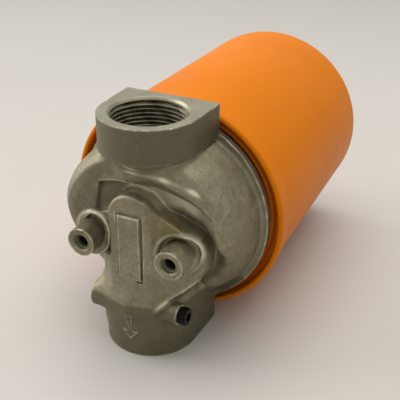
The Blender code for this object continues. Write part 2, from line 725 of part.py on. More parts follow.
def can_shell(material):
    """Drawn cup, open towards the head."""
    outer = [(CAN_OPEN_X, CAN_R)]
    inner = []
    corner_x = CAN_END_X - CAN_CORNER_R
    corner_r = CAN_R - CAN_CORNER_R
    inside_r = CAN_CORNER_R - CAN_WALL
    for step in range(CAN_CORNER_STEPS + 1):
        angle = math.pi / 2 * step / CAN_CORNER_STEPS
        outer.append((corner_x + CAN_CORNER_R * math.sin(angle), corner_r + CAN_CORNER_R * math.cos(angle)))
        inner.append((corner_x + inside_r * math.sin(angle), corner_r + inside_r * math.cos(angle)))
    inner.reverse()
    profile = (outer + [(CAN_END_X, 0.0), (CAN_END_X - CAN_WALL, 0.0)] + inner
               + [(CAN_OPEN_X, CAN_R - CAN_WALL), (CAN_OPEN_X, CAN_R)])
    return turned("can_shell", profile, material, closed=False)


def seam_lid(material):
    """Lid whose edge wraps the shell, with the gasket's channel pressed into it."""
    skin = LID_THICKNESS
    profile = (
        (SEAM_BACK_X, SEAM_R),
        (SEAM_FRONT_X + SEAM_BEAD, SEAM_R),
        (SEAM_FRONT_X, SEAM_R - SEAM_BEAD),
        (SEAM_FRONT_X, LID_RIM_R),
        (SEAM_FRONT_X + SEAM_BEAD, LID_RIM_R - skin),
        (LID_FACE_X, LID_RIM_R - skin),
        (LID_FACE_X, LID_STEP_R),
        (LID_CHANNEL_X, LID_STEP_R - skin),
        (LID_CHANNEL_X, LID_LIP_R + skin),
        (LID_LIP_X, LID_LIP_R + skin),
        (LID_LIP_X, LID_LIP_R),
        (LID_CHANNEL_X + skin, LID_LIP_R),
        (LID_CHANNEL_X + skin, LID_STEP_R),
        (LID_FACE_X + skin, LID_STEP_R + skin),
        (LID_FACE_X + skin, LID_RIM_R),
        (SEAM_FRONT_X + SEAM_BEAD, LID_RIM_R),
        (SEAM_FRONT_X + SEAM_BEAD, SEAM_R - skin),
        (SEAM_BACK_X, SEAM_R - skin),
    )
    return turned("seam_lid", profile, material)


def base_plate(material):
    """Thick plate with the can's thread in its middle and the inlet holes round it."""
    back_x = BASE_FRONT_X + BASE_THICKNESS
    plate = turned("base_plate", ring_profile(BASE_FRONT_X, back_x, BASE_BORE_R, BASE_R), material)
    for index in range(BASE_HOLES):
        turn = Matrix.Rotation(BASE_HOLE_START + FULL_TURN * index / BASE_HOLES, 3, X_AXIS)
        cut(plate, rod("inlet_hole", BASE_FRONT_X - OVERLAP, back_x + OVERLAP, BASE_HOLE_R,
                       centre=turn @ (Z_AXIS * BASE_HOLE_RING_R), segments=HOLE_SEGMENTS))
    return plate


def mounting_gasket(material):
    front = SEAL_FACE_X + GAP
    back = LID_CHANNEL_X - GAP
    return turned("mounting_gasket", ring_profile(front, back, GASKET_INNER_R, GASKET_OUTER_R), material)


# ---------------------------------------------------------------- filter element

def element_grommet(material):
    front = BASE_FRONT_X + BASE_THICKNESS + GAP
    back = OPEN_CAP_X - GAP
    return turned("element_grommet", ring_profile(front, back, GROMMET_INNER_R, GROMMET_OUTER_R), material)


def open_end_cap(material):
    """Pressed cap with a rim outside and a hole that the nipple passes."""
    back = OPEN_CAP_X + CAP_THICKNESS
    profile = (
        (OPEN_CAP_X, CAP_HOLE_R),
        (OPEN_CAP_X, CAP_R),
        (OPEN_CAP_X + CAP_RIM, CAP_R),
        (OPEN_CAP_X + CAP_RIM, CAP_R - CAP_THICKNESS),
        (back, CAP_R - CAP_THICKNESS),
        (back, CAP_HOLE_R),
    )
    return turned("open_end_cap", profile, material)


def closed_end_cap(material):
    """Pressed cap with a rim outside and a round dimple that centres the spring."""
    dimple_r = CLOSED_CAP_DIMPLE_R
    dimple = CLOSED_CAP_DIMPLE
    inside = CLOSED_CAP_X - CAP_THICKNESS
    profile = (
        (inside + dimple, 0.0),
        (inside + dimple, dimple_r - CAP_THICKNESS),
        (inside, dimple_r - CAP_THICKNESS),
        (inside, CAP_R - CAP_THICKNESS),
        (CLOSED_CAP_X - CAP_RIM, CAP_R - CAP_THICKNESS),
        (CLOSED_CAP_X - CAP_RIM, CAP_R),
        (CLOSED_CAP_X, CAP_R),
        (CLOSED_CAP_X, dimple_r),
        (CLOSED_CAP_X + dimple, dimple_r),
        (CLOSED_CAP_X + dimple, 0.0),
    )
    return turned("closed_end_cap", profile, material, closed=False)


def pleated_media(material):
    """One folded sheet closed into a star, with an even wall."""
    points = PLEATS * PLEAT_CORNERS
    half = MEDIA_SHEET / 2
    fold_angle = FULL_TURN / PLEATS
    fold_half_width = half / MEDIA_OUTER_R
    root_half_width = half / MEDIA_INNER_R
    outer = []
    inner = []
    for pleat in range(PLEATS):
        middle = pleat * fold_angle
        valley = middle + fold_angle / 2
        spread_out = MEDIA_SHEET / MEDIA_OUTER_R
        spread_in = MEDIA_SHEET / MEDIA_INNER_R
        outer += [(MEDIA_OUTER_R, middle - spread_out), (MEDIA_OUTER_R, middle + spread_out),
                  (MEDIA_INNER_R + MEDIA_SHEET, valley - root_half_width),
                  (MEDIA_INNER_R + MEDIA_SHEET, valley + root_half_width)]
        inner += [(MEDIA_OUTER_R - MEDIA_SHEET, middle - fold_half_width),
                  (MEDIA_OUTER_R - MEDIA_SHEET, middle + fold_half_width),
                  (MEDIA_INNER_R, valley - spread_in), (MEDIA_INNER_R, valley + spread_in)]
    start = OPEN_CAP_X + CAP_THICKNESS + GAP
    end = CLOSED_CAP_X - CAP_THICKNESS - GAP
    shape = bmesh.new()

    def place(line, x):
        return [shape.verts.new((x, radius * math.sin(angle), radius * math.cos(angle))) for radius, angle in line]

    near_out, near_in = place(outer, start), place(inner, start)
    far_out, far_in = place(outer, end), place(inner, end)
    for index in range(points):
        after = (index + 1) % points
        shape.faces.new((near_out[index], near_out[after], far_out[after], far_out[index]))
        shape.faces.new((near_in[index], far_in[index], far_in[after], near_in[after]))
        shape.faces.new((near_out[index], near_in[index], near_in[after], near_out[after]))
        shape.faces.new((far_out[index], far_out[after], far_in[after], far_in[index]))
    return add_object("pleated_media", shape, material)


def pleat_seam_clip(material):
    """Folded steel strip that joins the two ends of the sheet at the top pleat."""
    crown = MEDIA_OUTER_R + GAP
    foot = MEDIA_OUTER_R - CLIP_DEPTH
    inner = CLIP_INNER_HALF_WIDTH
    outer = inner + CLIP_THICKNESS
    outline = [Vector((0.0, y, z)) for y, z in (
        (-outer, foot), (-outer, crown + CLIP_THICKNESS), (outer, crown + CLIP_THICKNESS), (outer, foot),
        (inner, foot), (inner, crown), (-inner, crown), (-inner, foot))]
    start = OPEN_CAP_X + CAP_THICKNESS + GAP
    end = CLOSED_CAP_X - CAP_THICKNESS - GAP
    clip = prism("pleat_seam_clip", outline, start, end, X_AXIS)
    clip.data.materials.append(material)
    return clip


def centre_tube(material):
    """Punched steel tube that carries the pleats from inside."""
    start = OPEN_CAP_X + CAP_THICKNESS + GAP
    end = CLOSED_CAP_X - CAP_THICKNESS - GAP
    inner_r = TUBE_OUTER_R - TUBE_WALL
    tube = turned("centre_tube", ring_profile(start, end, inner_r, TUBE_OUTER_R), material,
                  segments=SMALL_SEGMENTS)
    pitch = (end - start) / TUBE_HOLE_ROWS
    for row in range(TUBE_HOLE_ROWS):
        for column in range(TUBE_HOLES_PER_ROW // 2):
            angle = FULL_TURN * (column + 0.5 * (row % 2)) / TUBE_HOLES_PER_ROW
            direction = Vector((0.0, math.sin(angle), math.cos(angle)))
            cut(tube, rod("punch", -CAP_R, CAP_R, TUBE_HOLE_R, axis=direction,
                          centre=X_AXIS * (start + pitch * (row + 0.5)), segments=TINY_SEGMENTS))
    return tube


def element_spring(material):
    low = CLOSED_CAP_X + ELEMENT_SPRING_WIRE_R + GAP
    high = CAN_END_X - CAN_WALL - ELEMENT_SPRING_WIRE_R - GAP
    return coil("element_spring", material, ELEMENT_SPRING_R, ELEMENT_SPRING_WIRE_R, low, high,
                ELEMENT_SPRING_TURNS, X_AXIS, Vector(), ELEMENT_SPRING_STEPS)


def main():
    clear_scene()
    paint = make_material("orange_paint", (0.86, 0.26, 0.015), 0.32, 0.0)
    cast = make_material("cast_aluminium", (0.42, 0.39, 0.33), 0.5, 0.7)
    black = make_material("black_oxide", (0.02, 0.02, 0.02), 0.4, 0.5)
    steel = make_material("plain_steel", (0.5, 0.5, 0.5), 0.35, 1.0)
    zinc = make_material("zinc_plate", (0.6, 0.6, 0.58), 0.4, 0.9)
    rubber = make_material("rubber", (0.03, 0.03, 0.03), 0.7, 0.0)
    paper = make_material("filter_paper", (0.75, 0.68, 0.5), 0.9, 0.0)

    head_casting(cast)
    threaded_nipple(steel)
    gauge_port_plug(black)
    valve_body(steel)
    valve_o_ring(rubber)
    valve_poppet(steel)
    valve_spring(steel)
    valve_spring_plate(zinc)
    valve_snap_ring(black)

    mounting_gasket(rubber)
    seam_lid(paint)
    can_shell(paint)
    base_plate(steel)
    element_grommet(rubber)
    open_end_cap(zinc)
    pleated_media(paper)
    pleat_seam_clip(zinc)
    centre_tube(zinc)
    closed_end_cap(zinc)
    element_spring(steel)


main()
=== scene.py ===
"""Looks of a spin-on hydraulic oil filter: a cast head and an orange can.

Shapes are worked out in millimetres; the camera, lights and floor are in metres.
"""
import math

import bpy
import numpy as np
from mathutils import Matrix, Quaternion, Vector


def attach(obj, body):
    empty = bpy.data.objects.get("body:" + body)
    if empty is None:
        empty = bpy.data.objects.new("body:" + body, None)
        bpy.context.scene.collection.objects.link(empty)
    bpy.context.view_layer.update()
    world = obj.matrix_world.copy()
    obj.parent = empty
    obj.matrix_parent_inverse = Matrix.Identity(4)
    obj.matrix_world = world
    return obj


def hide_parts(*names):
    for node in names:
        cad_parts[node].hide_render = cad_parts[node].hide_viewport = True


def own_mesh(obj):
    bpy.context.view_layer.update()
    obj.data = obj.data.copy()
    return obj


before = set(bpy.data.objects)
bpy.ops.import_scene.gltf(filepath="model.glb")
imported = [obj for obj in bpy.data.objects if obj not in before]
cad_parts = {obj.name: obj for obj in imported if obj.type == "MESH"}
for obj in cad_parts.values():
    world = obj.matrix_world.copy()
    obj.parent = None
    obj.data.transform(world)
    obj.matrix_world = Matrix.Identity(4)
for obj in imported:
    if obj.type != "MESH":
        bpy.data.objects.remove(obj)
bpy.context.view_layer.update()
MM = 0.001

# ---------------------------------------------------------------- camera, floor and light

CAMERA_PLACE = (-0.26355, -0.16292, 0.19439)
CAMERA_LOOK = (0.7995912, 0.3710535, -0.4722004)
CAMERA_ROLL = math.radians(0.727)
CAMERA_LENS = 62.918
CAMERA_SENSOR = 36.0
FLOOR_Z = -0.068
FLOOR_REACH = 6.0

ROOM_COLOUR = (0.80, 0.78, 0.74, 1)
ROOM_BRIGHT_SIDE = (0.15, 0.25, 0.95)
ROOM_TURN = 0.9                     # how far off the bright side the room is at its darkest and lightest
ROOM_DARKEST, ROOM_LIGHTEST = 0.27, 0.90
# Each light: place, target, size, power, colour
WINDOW = ((-0.1, 1.6, 0.8), (0.05, 0.0, 0.0), (1.4, 1.4), 17.0, (1.0, 0.99, 0.96))
CEILING = ((0.38, 0.0, 1.6), (0.08, 0.0, 0.0), (1.8, 1.8), 20.5, (1.0, 0.985, 0.95))


def add_camera():
    data = bpy.data.cameras.new("camera")
    data.lens = CAMERA_LENS
    data.sensor_width = CAMERA_SENSOR
    camera = bpy.data.objects.new("camera", data)
    bpy.context.scene.collection.objects.link(camera)
    camera.location = CAMERA_PLACE
    camera.rotation_mode = "QUATERNION"
    upright = Vector(CAMERA_LOOK).to_track_quat("-Z", "Y")
    camera.rotation_quaternion = upright @ Quaternion((0, 0, 1), CAMERA_ROLL)
    bpy.context.scene.camera = camera


def area_light(name, place, target, size, power, colour):
    data = bpy.data.lights.new(name, "AREA")
    data.shape = "RECTANGLE"
    data.size, data.size_y = size
    data.energy = power
    data.color = colour
    light = bpy.data.objects.new(name, data)
    bpy.context.scene.collection.objects.link(light)
    light.location = place
    aim = Vector(target) - Vector(place)
    light.rotation_mode = "QUATERNION"
    light.rotation_quaternion = aim.to_track_quat("-Z", "Y")
    return light


def add_lights():
    world = bpy.data.worlds.new("room")
    bpy.context.scene.world = world
    world.use_nodes = True
    tree = world.node_tree
    background = tree.nodes["Background"]
    background.inputs["Color"].default_value = ROOM_COLOUR
    facing = tree.nodes.new("ShaderNodeTexCoord").outputs["Generated"]
    toward_light = tree.nodes.new("ShaderNodeVectorMath")
    toward_light.operation = "DOT_PRODUCT"
    toward_light.inputs[1].default_value = ROOM_BRIGHT_SIDE
    strength = tree.nodes.new("ShaderNodeMapRange")
    strength.inputs["From Min"].default_value = -ROOM_TURN
    strength.inputs["From Max"].default_value = ROOM_TURN
    strength.inputs["To Min"].default_value = ROOM_DARKEST
    strength.inputs["To Max"].default_value = ROOM_LIGHTEST
    tree.links.new(facing, toward_light.inputs[0])
    tree.links.new(toward_light.outputs["Value"], strength.inputs["Value"])
    tree.links.new(strength.outputs["Result"], background.inputs["Strength"])
    area_light("window", *WINDOW)
    area_light("ceiling", *CEILING)
    bpy.context.scene.view_settings.view_transform = "Standard"


def add_floor(material):
    low, high = -FLOOR_REACH, FLOOR_REACH
    mesh = bpy.data.meshes.new("floor")
    corners = [(low, low, FLOOR_Z), (high, low, FLOOR_Z), (high, high, FLOOR_Z), (low, high, FLOOR_Z)]
    mesh.from_pydata(corners, [], [(0, 1, 2, 3)])
    mesh.materials.append(material)
    floor = bpy.data.objects.new("floor", mesh)
    bpy.context.scene.collection.objects.link(floor)


# ---------------------------------------------------------------- materials

CAST_DARK, CAST_LIGHT = (0.235, 0.215, 0.142), (0.465, 0.43, 0.308)
CAST_CLOUD = (0.20, 0.178, 0.105)
CAST_SPECK = (0.14, 0.13, 0.10)
CAST_SPOT = (0.155, 0.142, 0.088)
CAST_STAIN = (0.15, 0.135, 0.078)
# painted shade for front faces, the hollow and the left cheek
CAST_PAINTED_SHADE = (0.105, 0.095, 0.057)
# painted shade for corners, creases, holes and the foot of the slope
CAST_RECESS_SHADE = (0.085, 0.075, 0.035)
CAST_OIL = (0.20, 0.155, 0.050)
# worn metal colour, also used as painted highlight on the crest, pillar rims, slope and web edge
CAST_WORN_AND_HIGHLIGHT = (0.80, 0.76, 0.58)
MACHINED_DARK, MACHINED_LIGHT = (0.31, 0.293, 0.215), (0.38, 0.36, 0.265)
MACHINED_LINE = (0.28, 0.262, 0.19)
# the third thread colour is painted shade, darker deeper in the bracket holes
THREAD_DARK, THREAD_LIGHT, THREAD_HOLE_SHADE = (0.12, 0.112, 0.072), (0.22, 0.206, 0.145), (0.012, 0.011, 0.008)
PAINT_DARK, PAINT_LIGHT, PAINT_DUST = (0.665, 0.176, 0.0), (0.705, 0.192, 0.0), (0.72, 0.20, 0.01)
PAINT_SHINE = 0.08
OXIDE_DARK, OXIDE_LIGHT, OXIDE_WORN = (0.006, 0.005, 0.004), (0.018, 0.016, 0.013), (0.07, 0.064, 0.056)
RUBBER_DARK, RUBBER_LIGHT = (0.016, 0.016, 0.015), (0.035, 0.034, 0.032)
PAPER_DARK, PAPER_LIGHT = (0.60, 0.52, 0.34), (0.78, 0.71, 0.53)
# the third floor colour is painted shade, reached towards the far side of the floor
FLOOR_DARK, FLOOR_LIGHT, FLOOR_FAR_SHADE = (0.53, 0.505, 0.48), (0.55, 0.525, 0.50), (0.435, 0.42, 0.40)
FLOOR_SHADE_SIDE = (0.8, 0.6, 0.0)


class Nodes:
    """Short calls for building one Principled material.

    noise takes a scale per metre, a detail and a roughness; ramp turns low to high into start to
    end; bump takes a height in metres and a strength.
    """

    def __init__(self, name):
        self.material = bpy.data.materials.new(name)
        self.material.use_nodes = True
        self.tree = self.material.node_tree
        self.shader = self.tree.nodes["Principled BSDF"]
        self.place = self.tree.nodes.new("ShaderNodeTexCoord").outputs["Object"]

    def put(self, socket, value):
        if isinstance(value, bpy.types.NodeSocket):
            self.tree.links.new(value, socket)
        elif isinstance(value, tuple):
            socket.default_value = (*value, 1.0) if len(value) == 3 and socket.type == "RGBA" else value
        else:
            socket.default_value = value

    def noise(self, scale, detail=4.0, rough=0.6, place=None, distortion=0.0):
        node = self.tree.nodes.new("ShaderNodeTexNoise")
        self.put(node.inputs["Vector"], place or self.place)
        node.inputs["Scale"].default_value = scale
        node.inputs["Detail"].default_value = detail
        node.inputs["Roughness"].default_value = rough
        node.inputs["Distortion"].default_value = distortion
        return node.outputs["Fac"]

    def cells(self, scale, place=None):
        node = self.tree.nodes.new("ShaderNodeTexVoronoi")
        self.put(node.inputs["Vector"], place or self.place)
        node.inputs["Scale"].default_value = scale
        return node.outputs["Distance"]

    def stretch(self, scale):
        node = self.tree.nodes.new("ShaderNodeMapping")
        self.put(node.inputs["Vector"], self.place)
        node.inputs["Scale"].default_value = scale
        return node.outputs["Vector"]

    def ramp(self, value, low, high, start=0.0, end=1.0):
        node = self.tree.nodes.new("ShaderNodeMapRange")
        self.put(node.inputs["Value"], value)
        node.inputs["From Min"].default_value = low
        node.inputs["From Max"].default_value = high
        node.inputs["To Min"].default_value = start
        node.inputs["To Max"].default_value = end
        return node.outputs["Result"]

    def maths(self, operation, a, b=0.0):
        node = self.tree.nodes.new("ShaderNodeMath")
        node.operation = operation
        self.put(node.inputs[0], a)
        self.put(node.inputs[1], b)
        return node.outputs[0]

    def mix(self, factor, a, b):
        node = self.tree.nodes.new("ShaderNodeMix")
        node.data_type = "RGBA"
        self.put(node.inputs["Factor"], factor)
        self.put(node.inputs["A"], a)
        self.put(node.inputs["B"], b)
        return node.outputs["Result"]

    def toward(self, direction):
        node = self.tree.nodes.new("ShaderNodeVectorMath")
        node.operation = "DOT_PRODUCT"
        self.put(node.inputs[0], self.place)
        node.inputs[1].default_value = direction
        return node.outputs["Value"]

    def painted(self, name):
        node = self.tree.nodes.new("ShaderNodeAttribute")
        node.attribute_name = name
        return node.outputs["Fac"]

    def edges(self, low, high):
        node = self.tree.nodes.new("ShaderNodeNewGeometry")
        return self.ramp(node.outputs["Pointiness"], low, high)

    def bump(self, height, distance, strength=1.0, under=None):
        node = self.tree.nodes.new("ShaderNodeBump")
        node.inputs["Strength"].default_value = strength
        node.inputs["Distance"].default_value = distance
        self.put(node.inputs["Height"], height)
        if under:
            self.put(node.inputs["Normal"], under)
        return node.outputs["Normal"]

    def done(self, colour, roughness, metallic, normal=None, **others):
        self.put(self.shader.inputs["Base Color"], colour)
        self.put(self.shader.inputs["Roughness"], roughness)
        self.put(self.shader.inputs["Metallic"], metallic)
        if normal:
            self.put(self.shader.inputs["Normal"], normal)
        for key, value in others.items():
            self.put(self.shader.inputs[key.replace("_", " ")], value)
        return self.material


def cast_metal():
    n = Nodes("cast_aluminium")
    broad = n.noise(28, 3, 0.6)
    mottle = n.noise(150, 5, 0.7)
    speck = n.noise(900, 3, 0.6)
    pits = n.ramp(n.cells(420), 0.0, 0.16)
    tone = n.mix(n.ramp(mottle, 0.3, 0.7), CAST_DARK, CAST_LIGHT)
    tone = n.mix(n.ramp(broad, 0.38, 0.62), n.mix(0.5, tone, CAST_CLOUD), tone)
    tone = n.mix(n.ramp(speck, 0.62, 0.75, 0.0, 0.35), tone, CAST_SPECK)
    tone = n.mix(n.ramp(n.noise(480, 4, 0.75), 0.38, 0.64, 0.0, 0.5), tone, CAST_SPOT)
    tone = n.mix(n.ramp(n.noise(75, 6, 0.75), 0.5, 0.68, 0.0, 0.4), tone, CAST_STAIN)
    # painted shade on the port bosses, the hollow and the cheek
    tone = n.mix(n.maths("MULTIPLY", n.painted("painted_shade"), 0.68), tone, CAST_PAINTED_SHADE)
    # painted shade in corners, creases and holes
    tone = n.mix(n.painted("recess_shade"), tone, CAST_RECESS_SHADE)
    tone = n.mix(n.painted("oil"), tone, CAST_OIL)
    # worn edges and painted highlights: lighter and smoother
    tone = n.mix(n.painted("wear_and_highlight"), tone, CAST_WORN_AND_HIGHLIGHT)
    smooth_on_wear_and_highlight = n.maths("MULTIPLY", n.painted("wear_and_highlight"), 0.16)
    rough = n.maths("SUBTRACT", n.ramp(mottle, 0.3, 0.7, 0.44, 0.58), smooth_on_wear_and_highlight)
    fine = n.bump(n.noise(1500, 3, 0.7), 0.00012, 0.5)
    coarse = n.bump(mottle, 0.0004, 0.35, fine)
    normal = n.bump(pits, 0.0002, 0.3, coarse)
    return n.done(tone, rough, 0.8, normal)


def machined_metal():
    n = Nodes("machined_aluminium")
    swirl = n.noise(60, 3, 0.5)
    lines = n.noise(1.0, 2, 0.5, n.stretch((900, 60, 900)))
    tone = n.mix(n.ramp(swirl, 0.35, 0.65), MACHINED_DARK, MACHINED_LIGHT)
    tone = n.mix(n.ramp(lines, 0.45, 0.7, 0.0, 0.3), tone, MACHINED_LINE)
    normal = n.bump(lines, 0.00006, 0.4)
    return n.done(tone, n.ramp(swirl, 0.3, 0.7, 0.30, 0.42), 0.75, normal)


def thread_metal():
    n = Nodes("thread_aluminium")
    oily = n.noise(180, 4, 0.6)
    tone = n.mix(n.ramp(oily, 0.35, 0.65), THREAD_DARK, THREAD_LIGHT)
    # painted shade, darker deeper in the bracket holes
    tone = n.mix(n.painted("recess_shade"), tone, THREAD_HOLE_SHADE)
    normal = n.bump(n.noise(1300, 3, 0.6), 0.00008, 0.4)
    return n.done(tone, n.ramp(oily, 0.3, 0.7, 0.38, 0.5), 1.0, normal)


def orange_paint():
    n = Nodes("orange_paint")
    broad = n.noise(14, 2, 0.5)
    peel = n.noise(420, 2, 0.5)
    dust = n.noise(700, 4, 0.7)
    tone = n.mix(n.ramp(broad, 0.35, 0.65), PAINT_DARK, PAINT_LIGHT)
    tone = n.mix(n.ramp(dust, 0.66, 0.8, 0.0, 0.25), tone, PAINT_DUST)
    rough = n.ramp(n.noise(60, 4, 0.6), 0.3, 0.7, 0.36, 0.46)
    normal = n.bump(peel, 0.00005, 0.35)
    return n.done(tone, rough, 0.0, normal, Specular_IOR_Level=PAINT_SHINE)


def black_plug():
    n = Nodes("black_oxide")
    grain = n.noise(900, 4, 0.6)
    tone = n.mix(n.ramp(grain, 0.35, 0.7), OXIDE_DARK, OXIDE_LIGHT)
    tone = n.mix(n.edges(0.52, 0.58), tone, OXIDE_WORN)
    return n.done(tone, n.ramp(grain, 0.3, 0.7, 0.35, 0.5), 0.95, n.bump(grain, 0.0001, 0.4))


def plain_metal(name, dark, light, rough, metallic):
    n = Nodes(name)
    stain = n.noise(90, 4, 0.6)
    grain = n.noise(1200, 3, 0.6)
    tone = n.mix(n.ramp(stain, 0.35, 0.65), dark, light)
    tone = n.mix(n.edges(0.52, 0.57), tone, tuple(min(1.0, 1.5 * part) for part in light))
    return n.done(tone, n.ramp(grain, 0.3, 0.7, rough - 0.06, rough + 0.06), metallic,
                  n.bump(grain, 0.00006, 0.35))


def rubber(name):
    n = Nodes(name)
    grain = n.noise(1500, 4, 0.6)
    tone = n.mix(n.ramp(n.noise(120, 4, 0.6), 0.35, 0.7), RUBBER_DARK, RUBBER_LIGHT)
    return n.done(tone, n.ramp(grain, 0.3, 0.7, 0.5, 0.68), 0.0, n.bump(grain, 0.0001, 0.4))


def paper():
    n = Nodes("filter_paper")
    fibre = n.noise(1.0, 4, 0.7, n.stretch((500, 1800, 1800)))
    tone = n.mix(n.ramp(fibre, 0.35, 0.65), PAPER_DARK, PAPER_LIGHT)
    return n.done(tone, 0.85, 0.0, n.bump(fibre, 0.0002, 0.5))


def floor_surface():
    n = Nodes("floor_surface")
    tone = n.mix(n.ramp(n.noise(3, 2, 0.5), 0.3, 0.7), FLOOR_DARK, FLOOR_LIGHT)
    # painted shade: the floor darkens towards the far side
    tone = n.mix(n.ramp(n.toward(FLOOR_SHADE_SIDE), 0.15, 0.95), tone, FLOOR_FAR_SHADE)
    return n.done(tone, 0.45, 0.0, n.bump(n.noise(300, 2, 0.5), 0.0001, 0.15))


# ---------------------------------------------------------------- distance fields, in millimetres

NORMAL_REACH = 0.02
NEARLY_ZERO = 1e-5
TINY = 1e-12
LEVEL = 1e-9                        # an outline's edge this flat counts as level
CENTRE_PULL = 0.06                  # keeps a flat cell's point near the middle
GRID_SLICE = 16
CELLS_ROUND_EDGE = (((0, 0, 0), (0, -1, 0), (0, -1, -1), (0, 0, -1)),
                    ((0, 0, 0), (0, 0, -1), (-1, 0, -1), (-1, 0, 0)),
                    ((0, 0, 0), (-1, 0, 0), (-1, -1, 0), (0, -1, 0)))


def join(a, b, fillet=0.0):
    """Union of two fields, with a casting fillet in the corner between them."""
    if fillet <= 0:
        return np.minimum(a, b)
    near = np.maximum(fillet - np.abs(a - b), 0.0) / fillet
    return np.minimum(a, b) - near * near * fillet * 0.25


def common(a, b, rounding=0.0):
    return -join(-a, -b, rounding)


def cut(a, b, rounding=0.0):
    return -join(-a, b, rounding)


def slab(along, low, high):
    return np.maximum(low - along, along - high)


def rounded(flat, along, edge):
    """A flat outline extruded along one direction, with its rims rounded."""
    a, b = flat + edge, along + edge
    return np.minimum(np.maximum(a, b), 0.0) + np.hypot(np.maximum(a, 0.0), np.maximum(b, 0.0)) - edge


def rod(p, axis, radius, low, high, centre=(0, 0, 0), edge=0.0, end_radius=None):
    """A round bar or cone along one axis."""
    one, two = [i for i in range(3) if i != axis]
    away = np.hypot(p[one] - centre[one], p[two] - centre[two])
    slope = 0.0 if end_radius is None else (end_radius - radius) / (high - low)
    flat = (away - radius - slope * (p[axis] - low)) / math.hypot(1, slope)
    return rounded(flat, slab(p[axis], low, high), edge)


def polygon(u, v, corners):
    """Distance to a closed outline; corners may hold arrays, for an outline that varies."""
    best = None
    inside = np.zeros(np.broadcast(u, v).shape, bool)
    for index, (ax, ay) in enumerate(corners):
        bx, by = corners[(index + 1) % len(corners)]
        ex, ey, wx, wy = bx - ax, by - ay, u - ax, v - ay
        t = np.clip((wx * ex + wy * ey) / (ex * ex + ey * ey + TINY), 0, 1)
        d = (wx - t * ex) ** 2 + (wy - t * ey) ** 2
        best = d if best is None else np.minimum(best, d)
        rise = np.where(np.abs(ey) < LEVEL, LEVEL, ey)
        inside ^= ((ay > v) != (by > v)) & (u < ex * (v - ay) / rise + ax)
    best = np.sqrt(best)
    return np.where(inside, -best, best)


def fade(value, start, end):
    """Smooth step: 0 at start and before it, 1 at end and beyond. The end may be the lower one."""
    t = np.clip((value - start) / (end - start), 0.0, 1.0)
    return t * t * (3 - 2 * t)


def hill(value, centre, width):
    """1 at the centre, falling off to both sides."""
    return np.exp(-((value - centre) / width) ** 2)


def crossings(values, low, step):
    """Where the surface cuts the grid's edges: (edge starts, points, axes, whether the start is inside)."""
    inside = values < 0
    starts, points, along, flips = [], [], [], []
    for axis in range(3):
        near, far = [slice(None)] * 3, [slice(None)] * 3
        near[axis], far[axis] = slice(0, -1), slice(1, None)
        index = np.argwhere(inside[tuple(near)] != inside[tuple(far)])
        keep = np.ones(len(index), bool)
        for other in range(3):
            if other != axis:
                keep &= (index[:, other] > 0) & (index[:, other] < values.shape[other] - 1)
        index = index[keep]
        after = index.copy()
        after[:, axis] += 1
        first, second = values[tuple(index.T)], values[tuple(after.T)]
        point = low + step * index
        point[:, axis] += step * first / (first - second)
        starts.append(index)
        points.append(point)
        along.append(np.full(len(index), axis))
        flips.append(first < 0)
    return map(np.concatenate, (starts, points, along, flips))


def facings(field, points):
    """Outward directions of the surface at points on it."""
    normals = []
    for axis in range(3):
        shift = [NORMAL_REACH if i == axis else 0.0 for i in range(3)]
        ahead = field([points[:, i] + shift[i] for i in range(3)])
        behind = field([points[:, i] - shift[i] for i in range(3)])
        normals.append(ahead - behind)
    normals = np.stack(normals, 1)
    return normals / (np.linalg.norm(normals, axis=1)[:, None] + TINY)


def cells_round(starts, along, spans):
    """Numbers of the four grid cells round each cut edge, in turning order."""
    cells = np.empty((len(starts), 4), np.int64)
    for axis in range(3):
        chosen = along == axis
        for corner, offset in enumerate(CELLS_ROUND_EDGE[axis]):
            cell = starts[chosen] + np.array(offset)
            cells[chosen, corner] = (cell[:, 0] * spans[1] + cell[:, 1]) * spans[2] + cell[:, 2]
    return cells


def cell_points(points, normals, owner, total):
    """The point of each cell that lies best on all the planes that cut it."""
    repeat = np.repeat(np.arange(len(points)), 4)
    share = np.bincount(owner, minlength=total)
    mass = np.stack([np.bincount(owner, points[repeat, i], total) for i in range(3)], 1) / share[:, None]
    away, facing = points[repeat] - mass[owner], normals[repeat]
    level = (away * facing).sum(1)
    square, side = np.empty((total, 3, 3)), np.empty((total, 3))
    for i in range(3):
        side[:, i] = np.bincount(owner, facing[:, i] * level, total)
        for j in range(i, 3):
            square[:, i, j] = square[:, j, i] = np.bincount(owner, facing[:, i] * facing[:, j], total)
    square += np.eye(3) * CENTRE_PULL
    return mass + np.linalg.solve(square, side[..., None])[..., 0]


def contour(field, low, high, step):
    """Surface of a field's zero level on a regular grid, one point per cell, with crisp edges kept."""
    low, high = np.array(low, float), np.array(high, float)
    count = np.ceil((high - low) / step).astype(int) + 1
    axes = [low[i] + step * np.arange(count[i]) for i in range(3)]
    grid = np.meshgrid(*axes, indexing="ij")
    values = np.empty(count, np.float32)
    for start in range(0, count[0], GRID_SLICE):
        values[start:start + GRID_SLICE] = field([c[start:start + GRID_SLICE] for c in grid])
    values[np.abs(values) < NEARLY_ZERO] = NEARLY_ZERO
    starts, points, along, flips = crossings(values, low, step)
    spans = count - 1
    used, owner = np.unique(cells_round(starts, along, spans).ravel(), return_inverse=True)
    owner = owner.reshape(-1)
    best = cell_points(points, facings(field, points), owner, len(used))
    corner = np.stack([used // (spans[2] * spans[1]), (used // spans[2]) % spans[1], used % spans[2]], 1)
    floor = low + step * corner
    places = np.clip(best, floor, floor + step)
    quads = owner.reshape(-1, 4)
    return places, np.where(flips[:, None], quads, quads[:, ::-1])


